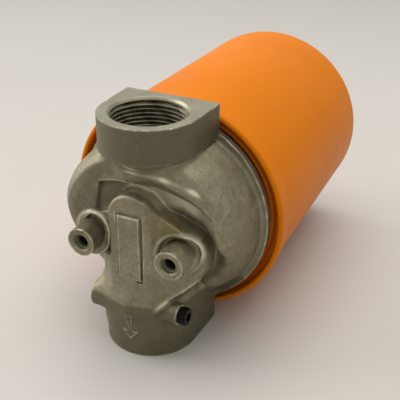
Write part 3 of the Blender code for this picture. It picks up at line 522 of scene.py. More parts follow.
def mesh_object(name, places, quads, materials, body, replaces=(), chosen=None, sharp=None):
    """Turn points in millimetres and four-sided faces into a piece that rides on a body."""
    mesh = bpy.data.meshes.new(name)
    mesh.vertices.add(len(places))
    mesh.vertices.foreach_set("co", (np.asarray(places) * MM).astype(np.float32).ravel())
    mesh.loops.add(len(quads) * 4)
    mesh.loops.foreach_set("vertex_index", np.asarray(quads).astype(np.int32).ravel())
    mesh.polygons.add(len(quads))
    mesh.polygons.foreach_set("loop_start", np.arange(0, len(quads) * 4, 4, dtype=np.int32))
    for material in materials:
        mesh.materials.append(material)
    if chosen is not None:
        mesh.polygons.foreach_set("material_index", chosen.astype(np.int32))
    mesh.update(calc_edges=True)
    mesh.validate()
    mesh.shade_smooth()
    if sharp:
        mesh.set_sharp_from_angle(angle=math.radians(sharp))
    piece = bpy.data.objects.new(name, mesh)
    bpy.context.scene.collection.objects.link(piece)
    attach(piece, body)
    if replaces:
        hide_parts(*replaces)
    return piece


# ---------------------------------------------------------------- head casting

OVERLAP = 0.5                       # how far cutters run into each other
BEYOND = 80.0                       # height clear of the casting, where the port cutters end

PORT_X, FACE_Z = 25.1, 68.0
BOSS_R, BOSS_BACK_X, BOSS_RIM = 26.7, 51.1, 0.35
BOSS_TAPER, BOSS_TAPER_LENGTH = 0.0423, 1.001     # the flanks spread a little towards the back
INLET_BOSS_FOOT_Z, OUTLET_BOSS_TOP_Z = 49.2, -34.0
INLET_ROOT_R, INLET_ROOT_LOW, INLET_ROOT_HIGH, INLET_ROOT_INSET = 15.0, 36.0, 50.0, 1.4
PORT_BORE_R = 21.6                  # the threaded liner fills it
INLET_FLOOR_Z, OUTLET_FLOOR_Z = 48.0, -42.0

FLANGE_R, FLANGE_FRONT_X, SEAL_FACE_X, FLANGE_RIM = 58.5, 49.6, 54.1, 0.45
GALLERY_R, GALLERY_NOSE_R = 46.5, 36.0
GALLERY_NOSE_X, GALLERY_X, GALLERY_MOUTH_X, GALLERY_OPEN_X = 31.0, 41.0, 51.0, 60.0
GALLERY_WALL, GALLERY_NOSE_WALL = 3.0, 3.2
CHAMBER_X, CHAMBER_R, CHAMBER_TOP_Z = 28.5, 14.5, 14.5
CORE_R, CORE_LOW_Z, CORE_TOP_Z = 19.2, -60.0, 20.0
COLLAR_R, COLLAR_LOW_X, COLLAR_HIGH_X = 22.5, 40.0, 53.5
THROAT_X, THROAT_R, THROAT_LOW_Z = 36.1, 13.0, 33.0
SOCKET_X, SOCKET_R = 41.0, 19.9
PASSAGE_X, PASSAGE_R = 29.5, 13.0
VALVE_X, VALVE_HOLE_R, VALVE_POCKET_R, VALVE_POCKET_TOP_Z = 32.0, 8.3, 10.2, 42.0

PILLAR_Y, PILLAR_R, PILLAR_BACK_X = 25.9, 12.5, 42.0
TROUGH_R, TROUGH_LOSS, TROUGH_DEPTH = 10.4, 2.0, 2.6
BRACKET_BOSS_R, BRACKET_FACE_X, BRACKET_BOSS_END_X, BRACKET_RIM = 8.0, -5.4, 26.0, 0.6
BRACKET_HOLE_R, BRACKET_HOLE_START_X, BRACKET_HOLE_END_X = 4.3, -8.0, 8.6
BRACKET_SINK_R, BRACKET_SINK_END_R, BRACKET_SINK_START_X, BRACKET_SINK_END_X = 5.3, 4.2, -5.5, -4.2
GAUGE_X, GAUGE_Z = 7.0, -38.2
GAUGE_R, GAUGE_END, GAUGE_RIM = 5.8, 26.6, 0.6
GAUGE_BORE_R, GAUGE_BORE_START_Y, GAUGE_BORE_END_Y = 4.4, -30.0, -11.8
GUSSET_R, GUSSET_END_R, GUSSET_END_Y, GUSSET_RIM = 15.0, 8.5, 24.6, 2.5
GUSSET_X, GUSSET_Z = GAUGE_X + 4.5, GAUGE_Z + 1.5
BLANK_BOSS_R, BLANK_BOSS_RIM = GAUGE_R + 1.8, 1.6
BLANK_BOSS_X, BLANK_BOSS_Z = GAUGE_X + 0.6, GAUGE_Z - 0.8

# Bowl, which BOWL_EDGE rounds off outside these corners: x, and the radius there above and below
BOWL_EDGE, BOWL_BACK_X, BOWL_CORE_R = 3.0, 51.0, -5.0
BOWL_PLACES = (54.0, 46.6, 37.6, 27.6, 20.6, 16.6, 13.6, 12.0, 12.0)
BOWL_UPPER = (52.0, 51.4, 50.8, 50.0, 49.2, 47.4, 44.4, 40.5, BOWL_CORE_R)
BOWL_LOWER = (52.0, 50.6, 47.0, 41.5, 35.0, 29.5, 26.0, 24.0, BOWL_CORE_R)
UPPER_END, LOWER_START = math.radians(64), math.radians(140)

# Front of the bowl, as (y, z): crest and foot of the slope above the hollow, and the hollow's left wall
BOWL_FRONT_X, SHELF_X, SHELF_Y, SHELF_SLANT = 8.6, 13.8, 24.0, 0.18
CREST = np.polyfit((24, 12, 3, -6.7, -17, -26, -32, -37, -44),
                   (39, 41.5, 41.8, 40.2, 38.6, 36.6, 34.4, 31, 26), 4)
FOOT = np.polyfit((24, 13.5, 4.3, -1.2, -11.8, -22.3, -31.7, -42),
                  (29.6, 32.4, 33.4, 33.0, 31.4, 29.1, 26.0, 20.5), 4)
MOAT = ((0, -30), (0, 12), (-15, 18), (-24, 20), (-34, 15.5), (-42, 7.5), (-45, -3.5), (-44, -15),
        (-39, -27), (-30, -34))
MOAT_HEIGHTS = (-34, -27, -15, -3.5, 11, 24)
MOAT_FLOORS = (31, 30, 28, 25, 21, 17)
WEB_RIGHT = ((-8, 27), (-13, 23), (-19, 18.6), (-27, 13.6), (-35.5, 9.5), (-38, 2), (-37.5, -10),
             (-34.9, -17.3), (-27, -24.5), (-18.5, -31.7), (-12, -38), (-5, -39))
WEB_LEFT = ((8, 20), (18, 14), (28, 11), (28, -8), (16, -12), (8, -14))
WEB_RIGHT_X, WEB_LEFT_X, WEB_BACK_X = 3.4, 9.0, 40.0

BODY_R, BODY_LOW_Z, BODY_TOP_Z, BODY_FRONT_X, BODY_ROUNDING = 26.6, -60.0, -6.0, 1.0, 7.0
LOBE_R, LOBE_Z, LOBE_FOOT_Z, LOBE_SPREAD = 13.0, 17.0, -36.0, 0.02
LOBE_FRONT_X, LOBE_BACK_X, LOBE_RIM = 1.2, 26.0, 2.2
PAD_HALF_WIDTH, PAD_HALF_HEIGHT, PAD_BACK_X, PAD_RIM = 6.4, 18.8, 6.0, 0.5
GROOVE_OFFSET, GROOVE_FRONT_X, GROOVE_BACK_X = 0.8, 0.4, 1.55
ARROW_HEIGHT = 0.45
ARROW_SHAFT_Z, ARROW_SHAFT_HALF_LENGTH, ARROW_SHAFT_HALF_WIDTH = -47.5, 5.5, 0.9
ARROW_HEAD = ((-4.4, -52), (4.4, -52), (0, -57))

CASTING_LOW, CASTING_HIGH = (-7.0, -60.5, -70.0), (56.0, 60.5, 70.0)
CASTING_GRID, QUICK_GRID = 0.72, 1.1


def d_outline(x, y):
    """Outline of the port bosses: round in front, flat sides, square at the back."""
    flank = (np.abs(y) - BOSS_R - BOSS_TAPER * (x - PORT_X)) / BOSS_TAPER_LENGTH
    front = np.hypot(x - PORT_X, y) - BOSS_R
    return np.maximum(np.where(x < PORT_X, front, flank), x - BOSS_BACK_X)


def front_depth(y, z):
    """How far back the front of the bowl lies at each place."""
    crest, foot = np.polyval(CREST, y), np.polyval(FOOT, y)
    lean = 5.6 * fade(y, 11, -11) * (1 - 0.5 * fade(y, -34, -48))
    slope = BOWL_FRONT_X + lean * np.clip((crest - z) / (crest - foot), 0, 1) ** 1.7
    slope = slope - 1.9 * hill(z, crest, 1.7) * fade(y, 10, 2) * fade(y, -42, -34)
    inward = np.minimum(foot - z, (SHELF_Y - SHELF_SLANT * (z - SHELF_Y) - y) * 0.75)
    shelf = SHELF_X - 0.34 * np.clip(foot - z, 0, 5) - 0.6 * fade(y, 8, 20)
    step = fade(inward, -0.5, 1.7) * fade(y, -45, -36)
    return np.maximum(slope, BOWL_FRONT_X + (shelf - BOWL_FRONT_X) * step)


def bowl(p):
    """Round back of the head, with the hollows in its front."""
    x, y, z = p
    radius = np.hypot(y, z)
    turn = np.abs(np.arctan2(y, z))
    upper = (1 + np.cos(np.pi * np.clip((turn - UPPER_END) / (LOWER_START - UPPER_END), 0, 1))) / 2
    corners = [(place, low + (high - low) * upper if high > 0 else low)
               for place, high, low in zip(BOWL_PLACES, BOWL_UPPER, BOWL_LOWER)]
    corners.append((BOWL_PLACES[0], BOWL_CORE_R))
    body = np.maximum(polygon(x, radius, corners) - BOWL_EDGE, x - BOWL_BACK_X)
    body = common(body, (front_depth(y, z) - x) * 0.75, 1.6)
    moat = common(polygon(y, z, MOAT), (x - np.interp(z, MOAT_HEIGHTS, MOAT_FLOORS)) * 0.9, 7.0)
    return cut(body, moat, 5.0)


def add_pillar(shape, p, side):
    """Pillar with a shallow trough round the bracket boss; side is 1 on the left and -1 on the right."""
    x, y, z = p
    centre = (0, side * PILLAR_Y, 0)
    outer = np.maximum(side * y - PILLAR_Y, 0.0)
    face = 3.6 + 0.32 * np.maximum(z, 0.0) + 0.06 * outer ** 2
    away = np.hypot(y - side * PILLAR_Y, z) - PILLAR_R
    pillar = common(away, np.maximum((face - x) * 0.85, x - PILLAR_BACK_X), 1.8)
    shape = join(shape, pillar, 2.0 if side < 0 else 1.2)
    reach = TROUGH_R - (TROUGH_LOSS * fade(outer, 0, 6) if side > 0 else 0.0)
    trough = np.maximum(away + PILLAR_R - reach, (x - face - TROUGH_DEPTH * fade(z, -7, 3)) * 0.85)
    shape = cut(shape, trough, 1.6)
    boss = rod(p, 0, BRACKET_BOSS_R, BRACKET_FACE_X, BRACKET_BOSS_END_X, centre, BRACKET_RIM)
    return join(shape, boss, 1.0)


def front_structure(p):
    """Outlet passage, lobe, web and pillars."""
    x, y, z = p
    body = rod(p, 2, BODY_R, BODY_LOW_Z, BODY_TOP_Z, (PORT_X, 0, 0), BODY_ROUNDING)
    body = common(body, BODY_FRONT_X - x, 1.5)
    top = np.where(z > LOBE_Z, np.hypot(y, z - LOBE_Z) - LOBE_R,
                   np.abs(y) - LOBE_R + LOBE_SPREAD * (LOBE_Z - z))
    lobe = rounded(np.maximum(top, LOBE_FOOT_Z - z), slab(x, LOBE_FRONT_X, LOBE_BACK_X), LOBE_RIM)
    shape = join(body, lobe, 3)
    lean = WEB_RIGHT_X + 2.6 * fade(y, -12, -26) + 6 * fade(y, -27, -36)
    web = common(polygon(y, z, WEB_RIGHT), np.maximum(lean - x, x - WEB_BACK_X), 1.8)
    shape = join(shape, web, 4)
    web = common(polygon(y, z, WEB_LEFT), np.maximum(WEB_LEFT_X - x, x - WEB_BACK_X), 1.5)
    shape = join(shape, web, 3)
    for side in (-1, 1):
        shape = add_pillar(shape, p, side)
    return shape


def add_pad(shape, p):
    """Raised pad, with a groove along its top and right side."""
    x, y, z = p
    across = np.maximum(np.abs(y) - PAD_HALF_WIDTH, np.abs(z) - PAD_HALF_HEIGHT)
    shape = join(shape, rounded(across, slab(x, 0.0, PAD_BACK_X), PAD_RIM), 0.4)
    width = 0.7 * np.maximum(fade(z, 8, 16), fade(y, -2, -6)) - 0.2
    groove = np.maximum(np.abs(across - GROOVE_OFFSET) - width, slab(x, GROOVE_FRONT_X, GROOVE_BACK_X))
    return cut(shape, groove, 0.5)


def arrow_field(p):
    """Raised flow arrow on the front of the outlet boss."""
    y, z = p[1], p[2]
    shaft = np.maximum(np.abs(y) - ARROW_SHAFT_HALF_WIDTH,
                       np.abs(z - ARROW_SHAFT_Z) - ARROW_SHAFT_HALF_LENGTH)
    return np.minimum(shaft, polygon(y, z, ARROW_HEAD))


def add_gauge_bosses(shape, p):
    """Slim boss for the plug on the right, and a blank one with a gusset on the left."""
    shape = join(shape, rod(p, 1, GAUGE_R, -GAUGE_END, 0, (GAUGE_X, 0, GAUGE_Z), GAUGE_RIM), 2.5)
    gusset = rod(p, 1, GUSSET_R, 0, GUSSET_END_Y, (GUSSET_X, 0, GUSSET_Z), GUSSET_RIM, GUSSET_END_R)
    shape = join(shape, gusset, 4.5)
    blank = rod(p, 1, BLANK_BOSS_R, 0, GAUGE_END, (BLANK_BOSS_X, 0, BLANK_BOSS_Z), BLANK_BOSS_RIM)
    return join(shape, blank, 2.5)


def casting_solid(p):
    """The head without its passages."""
    x, y, z = p
    flange = rod(p, 0, FLANGE_R, FLANGE_FRONT_X, SEAL_FACE_X, edge=FLANGE_RIM)
    shape = join(flange, bowl(p), 2.0)
    root = rod(p, 2, INLET_ROOT_R, INLET_ROOT_LOW, INLET_ROOT_HIGH, (PORT_X, 0, 0),
               end_radius=BOSS_R - INLET_ROOT_INSET)
    shape = join(shape, root, 5)
    plan = d_outline(x, y)
    shape = join(shape, rounded(plan, slab(z, INLET_BOSS_FOOT_Z, FACE_Z), BOSS_RIM), 2.2)
    shape = join(shape, front_structure(p), 1.6)
    outlet = rounded(plan, slab(z, -FACE_Z, OUTLET_BOSS_TOP_Z), BOSS_RIM)
    outlet = join(outlet, np.maximum(outlet - ARROW_HEIGHT, arrow_field(p)), 0.5)
    shape = join(shape, outlet, 4.5)
    shape = add_gauge_bosses(shape, p)
    return add_pad(shape, p)


def gallery(p, solid):
    """Ring-shaped space in the head's back, round the walls of the outlet passage."""
    ring = rod(p, 0, GALLERY_R, GALLERY_X, GALLERY_MOUTH_X + 2 * OVERLAP)
    hollow = np.maximum(ring, solid + GALLERY_WALL)
    hollow = join(hollow, rod(p, 0, GALLERY_R, GALLERY_MOUTH_X, GALLERY_OPEN_X))
    nose = rod(p, 0, GALLERY_NOSE_R, GALLERY_NOSE_X, GALLERY_X + OVERLAP, end_radius=GALLERY_R)
    hollow = join(hollow, np.maximum(nose, solid + GALLERY_NOSE_WALL))
    core = join(rod(p, 2, CORE_R, CORE_LOW_Z, CORE_TOP_Z, (CHAMBER_X, 0, 0)),
                rod(p, 0, COLLAR_R, COLLAR_LOW_X, COLLAR_HIGH_X))
    return cut(hollow, core)


def casting_hollows(p, solid):
    """Gallery, oil passages, ports, bracket holes and gauge bore."""
    chamber, valve = (CHAMBER_X, 0, 0), (VALVE_X, 0, 0)
    bars = [rod(p, 2, THROAT_R, THROAT_LOW_Z, INLET_FLOOR_Z + 2 * OVERLAP, (THROAT_X, 0, 0)),
            rod(p, 2, CHAMBER_R, OUTLET_FLOOR_Z - OVERLAP, CHAMBER_TOP_Z, chamber),
            rod(p, 0, SOCKET_R, SOCKET_X, GALLERY_OPEN_X),
            rod(p, 0, PASSAGE_R, PASSAGE_X, SOCKET_X + 2 * OVERLAP),
            rod(p, 2, VALVE_HOLE_R, CHAMBER_TOP_Z - OVERLAP, CORE_TOP_Z + 2 * OVERLAP, valve),
            rod(p, 2, VALVE_POCKET_R, CORE_TOP_Z, VALVE_POCKET_TOP_Z, valve),
            rod(p, 2, PORT_BORE_R, INLET_FLOOR_Z, BEYOND, (PORT_X, 0, 0)),
            rod(p, 2, PORT_BORE_R, -BEYOND, OUTLET_FLOOR_Z, (PORT_X, 0, 0)),
            rod(p, 1, GAUGE_BORE_R, GAUGE_BORE_START_Y, GAUGE_BORE_END_Y, (GAUGE_X, 0, GAUGE_Z))]
    for side in (-1, 1):
        centre = (0, side * PILLAR_Y, 0)
        bars.append(rod(p, 0, BRACKET_HOLE_R, BRACKET_HOLE_START_X, BRACKET_HOLE_END_X, centre))
        bars.append(rod(p, 0, BRACKET_SINK_R, BRACKET_SINK_START_X, BRACKET_SINK_END_X, centre,
                        end_radius=BRACKET_SINK_END_R))
    return np.minimum.reduce([gallery(p, solid), *bars])


def casting_field(p):
    solid = casting_solid(p)
    return cut(solid, casting_hollows(p, solid))


# ---------------------------------------------------------------- the casting's worn edges, oil, painted highlights and painted shade

EDGE_REACH = 0.8                    # how far each side an edge or corner is felt
SHARP = 38                          # degrees
# places across the crest of the painted highlight spots
CREST_HIGHLIGHTS_Y = (0.8, -16.5, -31.5)       # bright spots along the crest
RIM_R, NECK_R, HOLE_R = 11.6, 8.6, 4.6

def bend(field, places, reach):
    """How sharply the surface turns: positive on outer edges, negative in inner corners."""
    total = -6 * field(list(places.T))
    for axis in range(3):
        for side in (-reach, reach):
            moved = places.copy()
            moved[:, axis] += side
            total += field(list(moved.T))
    return total / reach ** 2


def points(piece):
    """Vertex places of a piece, in millimetres."""
    places = np.zeros(len(piece.data.vertices) * 3)
    piece.data.vertices.foreach_get("co", places)
    return places.reshape(-1, 3) / MM


def paint(piece, name, values):
    layer = piece.data.attributes.new(name, "FLOAT", "POINT")
    layer.data.foreach_set("value", np.clip(values, 0, 1).astype(np.float32))


def worn_edges_and_highlights(x, y, z, tight, wobble):
    """Worn edges, painted highlights on the crest, the pillar rims and the web edge, and painted light on the
    slope below the crest.
    """
    crest, foot = np.polyval(CREST, y), np.polyval(FOOT, y)
    along = hill(z - crest, 0.3, 1.0) * (x < 13) * fade(y, 8, 2) * fade(y, -40, -34)
    # painted highlight spots along the crest
    spots = sum(hill(y, at, 2.6) for at in CREST_HIGHLIGHTS_Y)
    # painted highlight where the crest meets the root of the inlet boss
    first = hill(z, 45.1 + 0.3 * y, 0.8) * hill(y, 0, 3.0) * (x < 6)
    # painted highlight on the rims round the pillars
    rims = hill(np.hypot(np.abs(y) - PILLAR_Y, z), RIM_R, 0.9) * fade(z, -4, 4) * (x < 15) * (x > 2)
    # painted light on the slope band below the crest
    slope = fade(z, foot - 9.5, foot - 7.0) * fade(z, foot + 1.0, foot - 0.5)
    slope = slope * fade(y, 8, 2) * fade(y, -36, -30) * (x < 17) * (x > 7.5)
    boss_foot = 1 - 0.7 * (np.abs(z - 49.3) < 1.0)
    edges = 0.42 * fade(tight, 0.35, 1.25) * (0.35 + wobble) * boss_foot
    # painted highlight along the lower right edge of the web
    web_edge_highlight = hill(polygon(y, z, WEB_RIGHT), -0.3, 0.9) * fade(z, -15, -19) * fade(y, -13, -17) * (x < 15)
    crest_light = 1.1 * along * spots + 0.3 * along + 1.2 * first
    return edges + crest_light + 0.55 * rims + 0.85 * web_edge_highlight + 0.42 * slope


def painted_recess_shade(x, y, z, tight, wobble):
    """Painted shade in inner corners, along the foot of the slope, round the bracket bosses, in their holes
    and at the web's foot.
    """
    round_pillar = np.hypot(np.abs(y) - PILLAR_Y, z)
    line = hill(z - np.polyval(FOOT, y), 0.4, 1.1) * (x > 11) * (x < 18)
    line = line * fade(y, 14, -16) * fade(y, -37, -28)
    necks = (round_pillar < NECK_R) * fade(x, -1, 6) * (x < 20) * fade(z, -2, 6)
    deep = (round_pillar < HOLE_R) * fade(x, -3.6, 1.4) * (x < 9)
    # weaker painted shade on the band above the lobe
    less_shade = 1 - 0.75 * fade(z, 12, 16) * fade(y, -34, -26) * fade(y, 16, 10) * (x < 15)
    corners = 0.42 * fade(tight, -0.25, -1.15) * (0.4 + wobble) * less_shade
    web_foot = hill(polygon(y, z, WEB_RIGHT), 2.6, 1.3) * fade(z, -15, -19) * fade(y, -13, -17) * (x < 26)
    return corners + 0.4 * line + 0.45 * necks + deep + 0.7 * web_foot


def painted_shade_areas(x, y, z):
    """Painted shade on the port bosses, the top left of the bowl, the hollow in its front and the left cheek.
    """
    bosses = fade(z, 48, 50) + 1.1 * fade(z, -33, -36)
    shoulder = fade(z, 32, 40) * (x < 12) * fade(y, 10, 16)
    hollow = (x > 10.5) * (x < 15) * fade(y, 2, 12) * fade(z, 16, 19) * fade(y, 24, 21)
    cheek = fade(y, 17, 23) * (x < 12) * fade(z, -4, 4)
    return 1.1 * bosses + 1.0 * shoulder + 1.2 * hollow + 0.85 * cheek


def paint_casting(piece, places):
    """Worn edges with painted highlights, painted shade in corners, creases and on some front faces, and oil
    that has settled beside the right pillar.
    """
    x, y, z = places.T
    tight = bend(casting_field, places, EDGE_REACH)
    wobble = 0.5 + 0.25 * (np.sin(0.9 * y + 0.4 * z) + np.sin(0.53 * x - 0.71 * z + 1.3))
    # worn edges plus painted highlights
    paint(piece, "wear_and_highlight", worn_edges_and_highlights(x, y, z, tight, wobble))
    # painted shade in corners, creases and holes
    paint(piece, "recess_shade", painted_recess_shade(x, y, z, tight, wobble))
    pool = hill(y, -21, 8) * hill(z, 15, 6.5) * (x < 12)
    paint(piece, "oil", 0.75 * pool * (0.4 + wobble))
    # painted shade on front faces and the hollow
    paint(piece, "painted_shade", painted_shade_areas(x, y, z))


def machined_faces(places, quads):
    """1 on cut outer faces (ports, seal face, flange rim), 2 in the ports and bracket holes."""
    x, y, z = places[quads].mean(1).T
    machined = np.abs(z) > FACE_Z - 0.12
    machined |= (x > SEAL_FACE_X - 0.2) | ((np.hypot(y, z) > FLANGE_R - 0.2) & (x > FLANGE_FRONT_X + 0.3))
    wall = np.hypot(x - PORT_X, y) - PORT_BORE_R
    floors = np.where(z > 0, z - INLET_FLOOR_Z, z - OUTLET_FLOOR_Z)
    in_port = (z > INLET_FLOOR_Z - 0.2) | (z < OUTLET_FLOOR_Z + 0.2)
    bored = in_port & (wall < 0.3) & ((wall > -0.3) | (np.abs(floors) < 0.4))
    bored |= (np.hypot(np.abs(y) - PILLAR_Y, z) < BRACKET_HOLE_R + 0.2) & (x < 9)
    return machined.astype(int) + 2 * (bored & ~machined).astype(int)


def add_casting(cast, machined, threaded_metal):
    step = CASTING_GRID
    places, quads = contour(casting_field, CASTING_LOW, CASTING_HIGH, step)
    piece = mesh_object("head_body", places, quads, (cast, machined, threaded_metal), "head",
                        ("head_casting",), machined_faces(places, quads), sharp=SHARP)
    paint_casting(piece, places)


# ---------------------------------------------------------------- threads and turned pieces

AXIS_R = 0.02                       # turned profiles stop this far from their axis
PIPE_ROOT_R, PIPE_CREST_R, PIPE_BACK_R, PIPE_PITCH = 20.9, 19.5, 21.75, 2.309
BRACKET_ROOT_R, BRACKET_CREST_R, BRACKET_BACK_R, BRACKET_PITCH = 3.95, 3.35, 4.5, 1.25
NIPPLE_ROOT_R, NIPPLE_CREST_R, NIPPLE_BORE_R, NIPPLE_PITCH = 18.1, 19.0, 15.5, 1.5875
NIPPLE_START_X, NIPPLE_END_X = 41.5, 75.0
BRACKET_THREAD_START_X, BRACKET_THREAD_END_X, BRACKET_DARK_X = -4.6, 8.4, -4.0
MOUTH_DEPTH, MOUTH_R, MOUTH_NECK_R = 1.5, 21.1, 19.9


def ring_grid(rings, closed=True):
    """Faces that join rings of points; rings has shape (rings, segments, 3)."""
    count, segments = rings.shape[:2]
    index = np.arange(count * segments).reshape(count, segments)
    ahead = np.roll(index, -1, axis=1)
    first, second = (index, np.roll(index, -1, axis=0)) if closed else (index[:-1], index[1:])
    first_ahead, second_ahead = (ahead, np.roll(ahead, -1, axis=0)) if closed else (ahead[:-1], ahead[1:])
    return np.stack([first, first_ahead, second_ahead, second], -1).reshape(-1, 4)


def around(axis, centre, height, radius, angle):
    """Points at a height along an axis, a radius and an angle round it."""
    one, two = [(1, 2), (2, 0), (0, 1)][axis]
    point = np.zeros(np.broadcast(height, radius, angle).shape + (3,))
    point[..., axis] = centre[axis] + height
    point[..., one] = centre[one] + radius * np.cos(angle)
    point[..., two] = centre[two] + radius * np.sin(angle)
    return point


def outward(places, quads):
    """Turn all faces if the closed shape is inside out."""
    a, b, c = (places[quads[:, i]] for i in range(3))
    d = places[quads[:, 3]]
    volume = (np.cross(a, b) * c).sum() + (np.cross(a, c) * d).sum()
    return quads if volume > 0 else quads[:, ::-1]


def fillet_profile(corners, steps):
    """Round the corners of a closed profile of (height, radius, rounding)."""
    points = []
    for index, (h, r, size) in enumerate(corners):
        here = np.array((h, r), float)
        if size <= 0:
            points.append(here)
            continue
        back = np.array(corners[index - 1][:2], float) - here
        ahead = np.array(corners[(index + 1) % len(corners)][:2], float) - here
        reach = min(size, 0.49 * np.linalg.norm(back), 0.49 * np.linalg.norm(ahead))
        start = here + back / np.linalg.norm(back) * reach
        end = here + ahead / np.linalg.norm(ahead) * reach
        for step in range(steps + 1):
            t = step / steps
            points.append((1 - t) ** 2 * start + 2 * t * (1 - t) * here + t * t * end)
    return np.array(points)


def turned(name, corners, material, body, axis=0, centre=(0, 0, 0), segments=192, replaces=(), steps=5):
    """A closed profile of (place along the axis, radius, rounding) turned round the axis."""
    profile = fillet_profile(corners, steps)
    angle = np.linspace(0, 2 * np.pi, segments, endpoint=False)
    rings = around(axis, centre, profile[:, None, 0], np.maximum(profile[:, None, 1], AXIS_R), angle[None])
    places = rings.reshape(-1, 3)
    quads = outward(places, ring_grid(rings))
    return mesh_object(name, places, quads, (material,), body, replaces, sharp=35)


def thread_profile(phase, depth):
    """Height of a V thread with small flats, from root 0 to crest depth."""
    return depth * np.clip(1.25 * (1 - np.abs(2 * (phase % 1.0) - 1)) - 0.125, 0, 1)


def threaded(name, axis, centre, low, high, root_r, crest_r, back_r, pitch, material, body,
             replaces=(), segments=160, per_turn=10):
    """A threaded wall: a helix between two heights on one face and a plain cylinder on its back."""
    rows = int((high - low) / pitch * per_turn)
    height = np.linspace(low, high, rows)
    angle = np.linspace(0, 2 * np.pi, segments, endpoint=False)
    phase = height[:, None] / pitch - angle[None] / (2 * np.pi)
    radius = root_r + np.sign(crest_r - root_r) * thread_profile(phase, abs(crest_r - root_r))
    run_out = np.clip(np.minimum(height - low, high - height) / pitch, 0, 1)[:, None]
    radius = root_r + (radius - root_r) * run_out
    front = around(axis, centre, height[:, None], radius, angle[None])
    back = around(axis, centre, height[::-1, None], np.full((rows, 1), back_r), angle[None])[[0, -1]]
    rings = np.concatenate([front, back])
    places = rings.reshape(-1, 3)
    quads = outward(places, ring_grid(rings))
    return mesh_object(name, places, quads, (material,), body, replaces, sharp=40)


def add_threads(metal, steel):
    """Liners with the threads of the two ports and the bracket holes, and the nipple."""
    for name, low, high in (("inlet_thread", INLET_FLOOR_Z + 0.2, FACE_Z - 1.2),
                            ("outlet_thread", -FACE_Z + 1.2, OUTLET_FLOOR_Z - 0.2)):
        threaded(name, 2, (PORT_X, 0, 0), low, high, PIPE_ROOT_R, PIPE_CREST_R, PIPE_BACK_R, PIPE_PITCH,
                 metal, "head")
    for side, label in ((1, "left"), (-1, "right")):
        piece = threaded("bracket_thread_" + label, 0, (0, side * PILLAR_Y, 0), BRACKET_THREAD_START_X,
                         BRACKET_THREAD_END_X, BRACKET_ROOT_R, BRACKET_CREST_R, BRACKET_BACK_R, BRACKET_PITCH,
                         metal, "head", segments=64)
        # painted shade, darker deeper into the hole
        paint(piece, "recess_shade", fade(points(piece)[:, 0], BRACKET_DARK_X, 0))
    threaded("nipple", 0, (0, 0, 0), NIPPLE_START_X, NIPPLE_END_X, NIPPLE_ROOT_R, NIPPLE_CREST_R,
             NIPPLE_BORE_R, NIPPLE_PITCH, steel, "head", ("threaded_nipple",), segments=128)


def add_mouths(machined):
    """Chamfered mouths of the two ports."""
    for side, name in ((1, "inlet_mouth"), (-1, "outlet_mouth")):
        corners = ((side * FACE_Z, PIPE_BACK_R, 0), (side * (FACE_Z - 0.02), MOUTH_R, 0.15),
                   (side * (FACE_Z - MOUTH_DEPTH), MOUTH_NECK_R, 0.15),
                   (side * (FACE_Z - MOUTH_DEPTH - 0.2), PIPE_BACK_R, 0))
        turned(name, corners, machined, "head", 2, (PORT_X, 0, 0))


# ---------------------------------------------------------------- can, lid, gasket and plug

CAN_PROFILE = ((54.0, 64.5, 0.3), (63.0, 64.5, 0.1), (63.2, 64.0, 0.3), (63.9, 64.0, 0.3), (64.5, 64.5, 0.4),
               (215.6, 64.5, 6.5), (215.6, 52.0, 2.0), (214.2, 49.0, 2.0), (214.2, 0, 0),
               (213.0, 0, 0), (213.0, 48.6, 2.0), (214.5, 52.0, 1.5), (214.5, 63.4, 5.4), (54.0, 63.4, 0.2))
LID_PROFILE = ((62.9, 64.62, 0.1), (62.8, 65.7, 0.5), (53.6, 65.8, 1.6), (52.6, 64.3, 1.0), (53.0, 62.9, 0.9),
               (61.0, 62.2, 0.8), (61.0, 59.4, 0.8), (57.3, 58.6, 0.8), (57.3, 57.0, 0.6), (60.9, 56.2, 0.6),
               (60.9, 47.7, 0.5), (58.3, 47.7, 0.2), (58.3, 46.8, 0.2), (61.9, 46.8, 0.6), (61.9, 62.8, 0.6),
               (54.0, 63.2, 0.5), (53.7, 64.2, 0.3), (54.2, 64.62, 0.2))
GASKET_PROFILE = ((54.4, 48.2, 0.9), (54.4, 55.6, 0.9), (60.6, 55.6, 0.9), (60.6, 48.2, 0.9))

PLUG_HEAD_R, PLUG_START_Y, PLUG_HEAD_END_Y = 4.9, -31.5, -26.9
PLUG_SHANK_R, PLUG_SHANK_START_Y, PLUG_END_Y = 4.1, -27.5, -18.0
PLUG_SOCKET_HALF_WIDTH, PLUG_SOCKET_TURN, PLUG_SOCKET_FLOOR_Y = 2.5, 0.3, -28.0
PLUG_GRID = 0.25


def add_can(paint, black):
    turned("can", CAN_PROFILE, paint, "can", replaces=("can_shell",), segments=256, steps=8)
    turned("lid", LID_PROFILE, paint, "can", replaces=("seam_lid",), segments=256, steps=6)
    turned("gasket", GASKET_PROFILE, black, "gasket", replaces=("mounting_gasket",))


def plug_field(p):
    """Socket-head plug in the gauge port."""
    x, y, z = p
    centre = (GAUGE_X, 0, GAUGE_Z)
    shape = join(rod(p, 1, PLUG_HEAD_R, PLUG_START_Y, PLUG_HEAD_END_Y, centre, 0.6),
                 rod(p, 1, PLUG_SHANK_R, PLUG_SHANK_START_Y, PLUG_END_Y, centre, 0.4))
    u, v = x - GAUGE_X, z - GAUGE_Z
    turns = [PLUG_SOCKET_TURN + side * math.pi / 3 for side in range(3)]
    across = np.maximum.reduce([np.abs(u * math.cos(a) + v * math.sin(a)) for a in turns])
    hexagon = across - PLUG_SOCKET_HALF_WIDTH
    return cut(shape, np.maximum(hexagon, slab(y, PLUG_START_Y - 1.5, PLUG_SOCKET_FLOOR_Y)), 0.2)


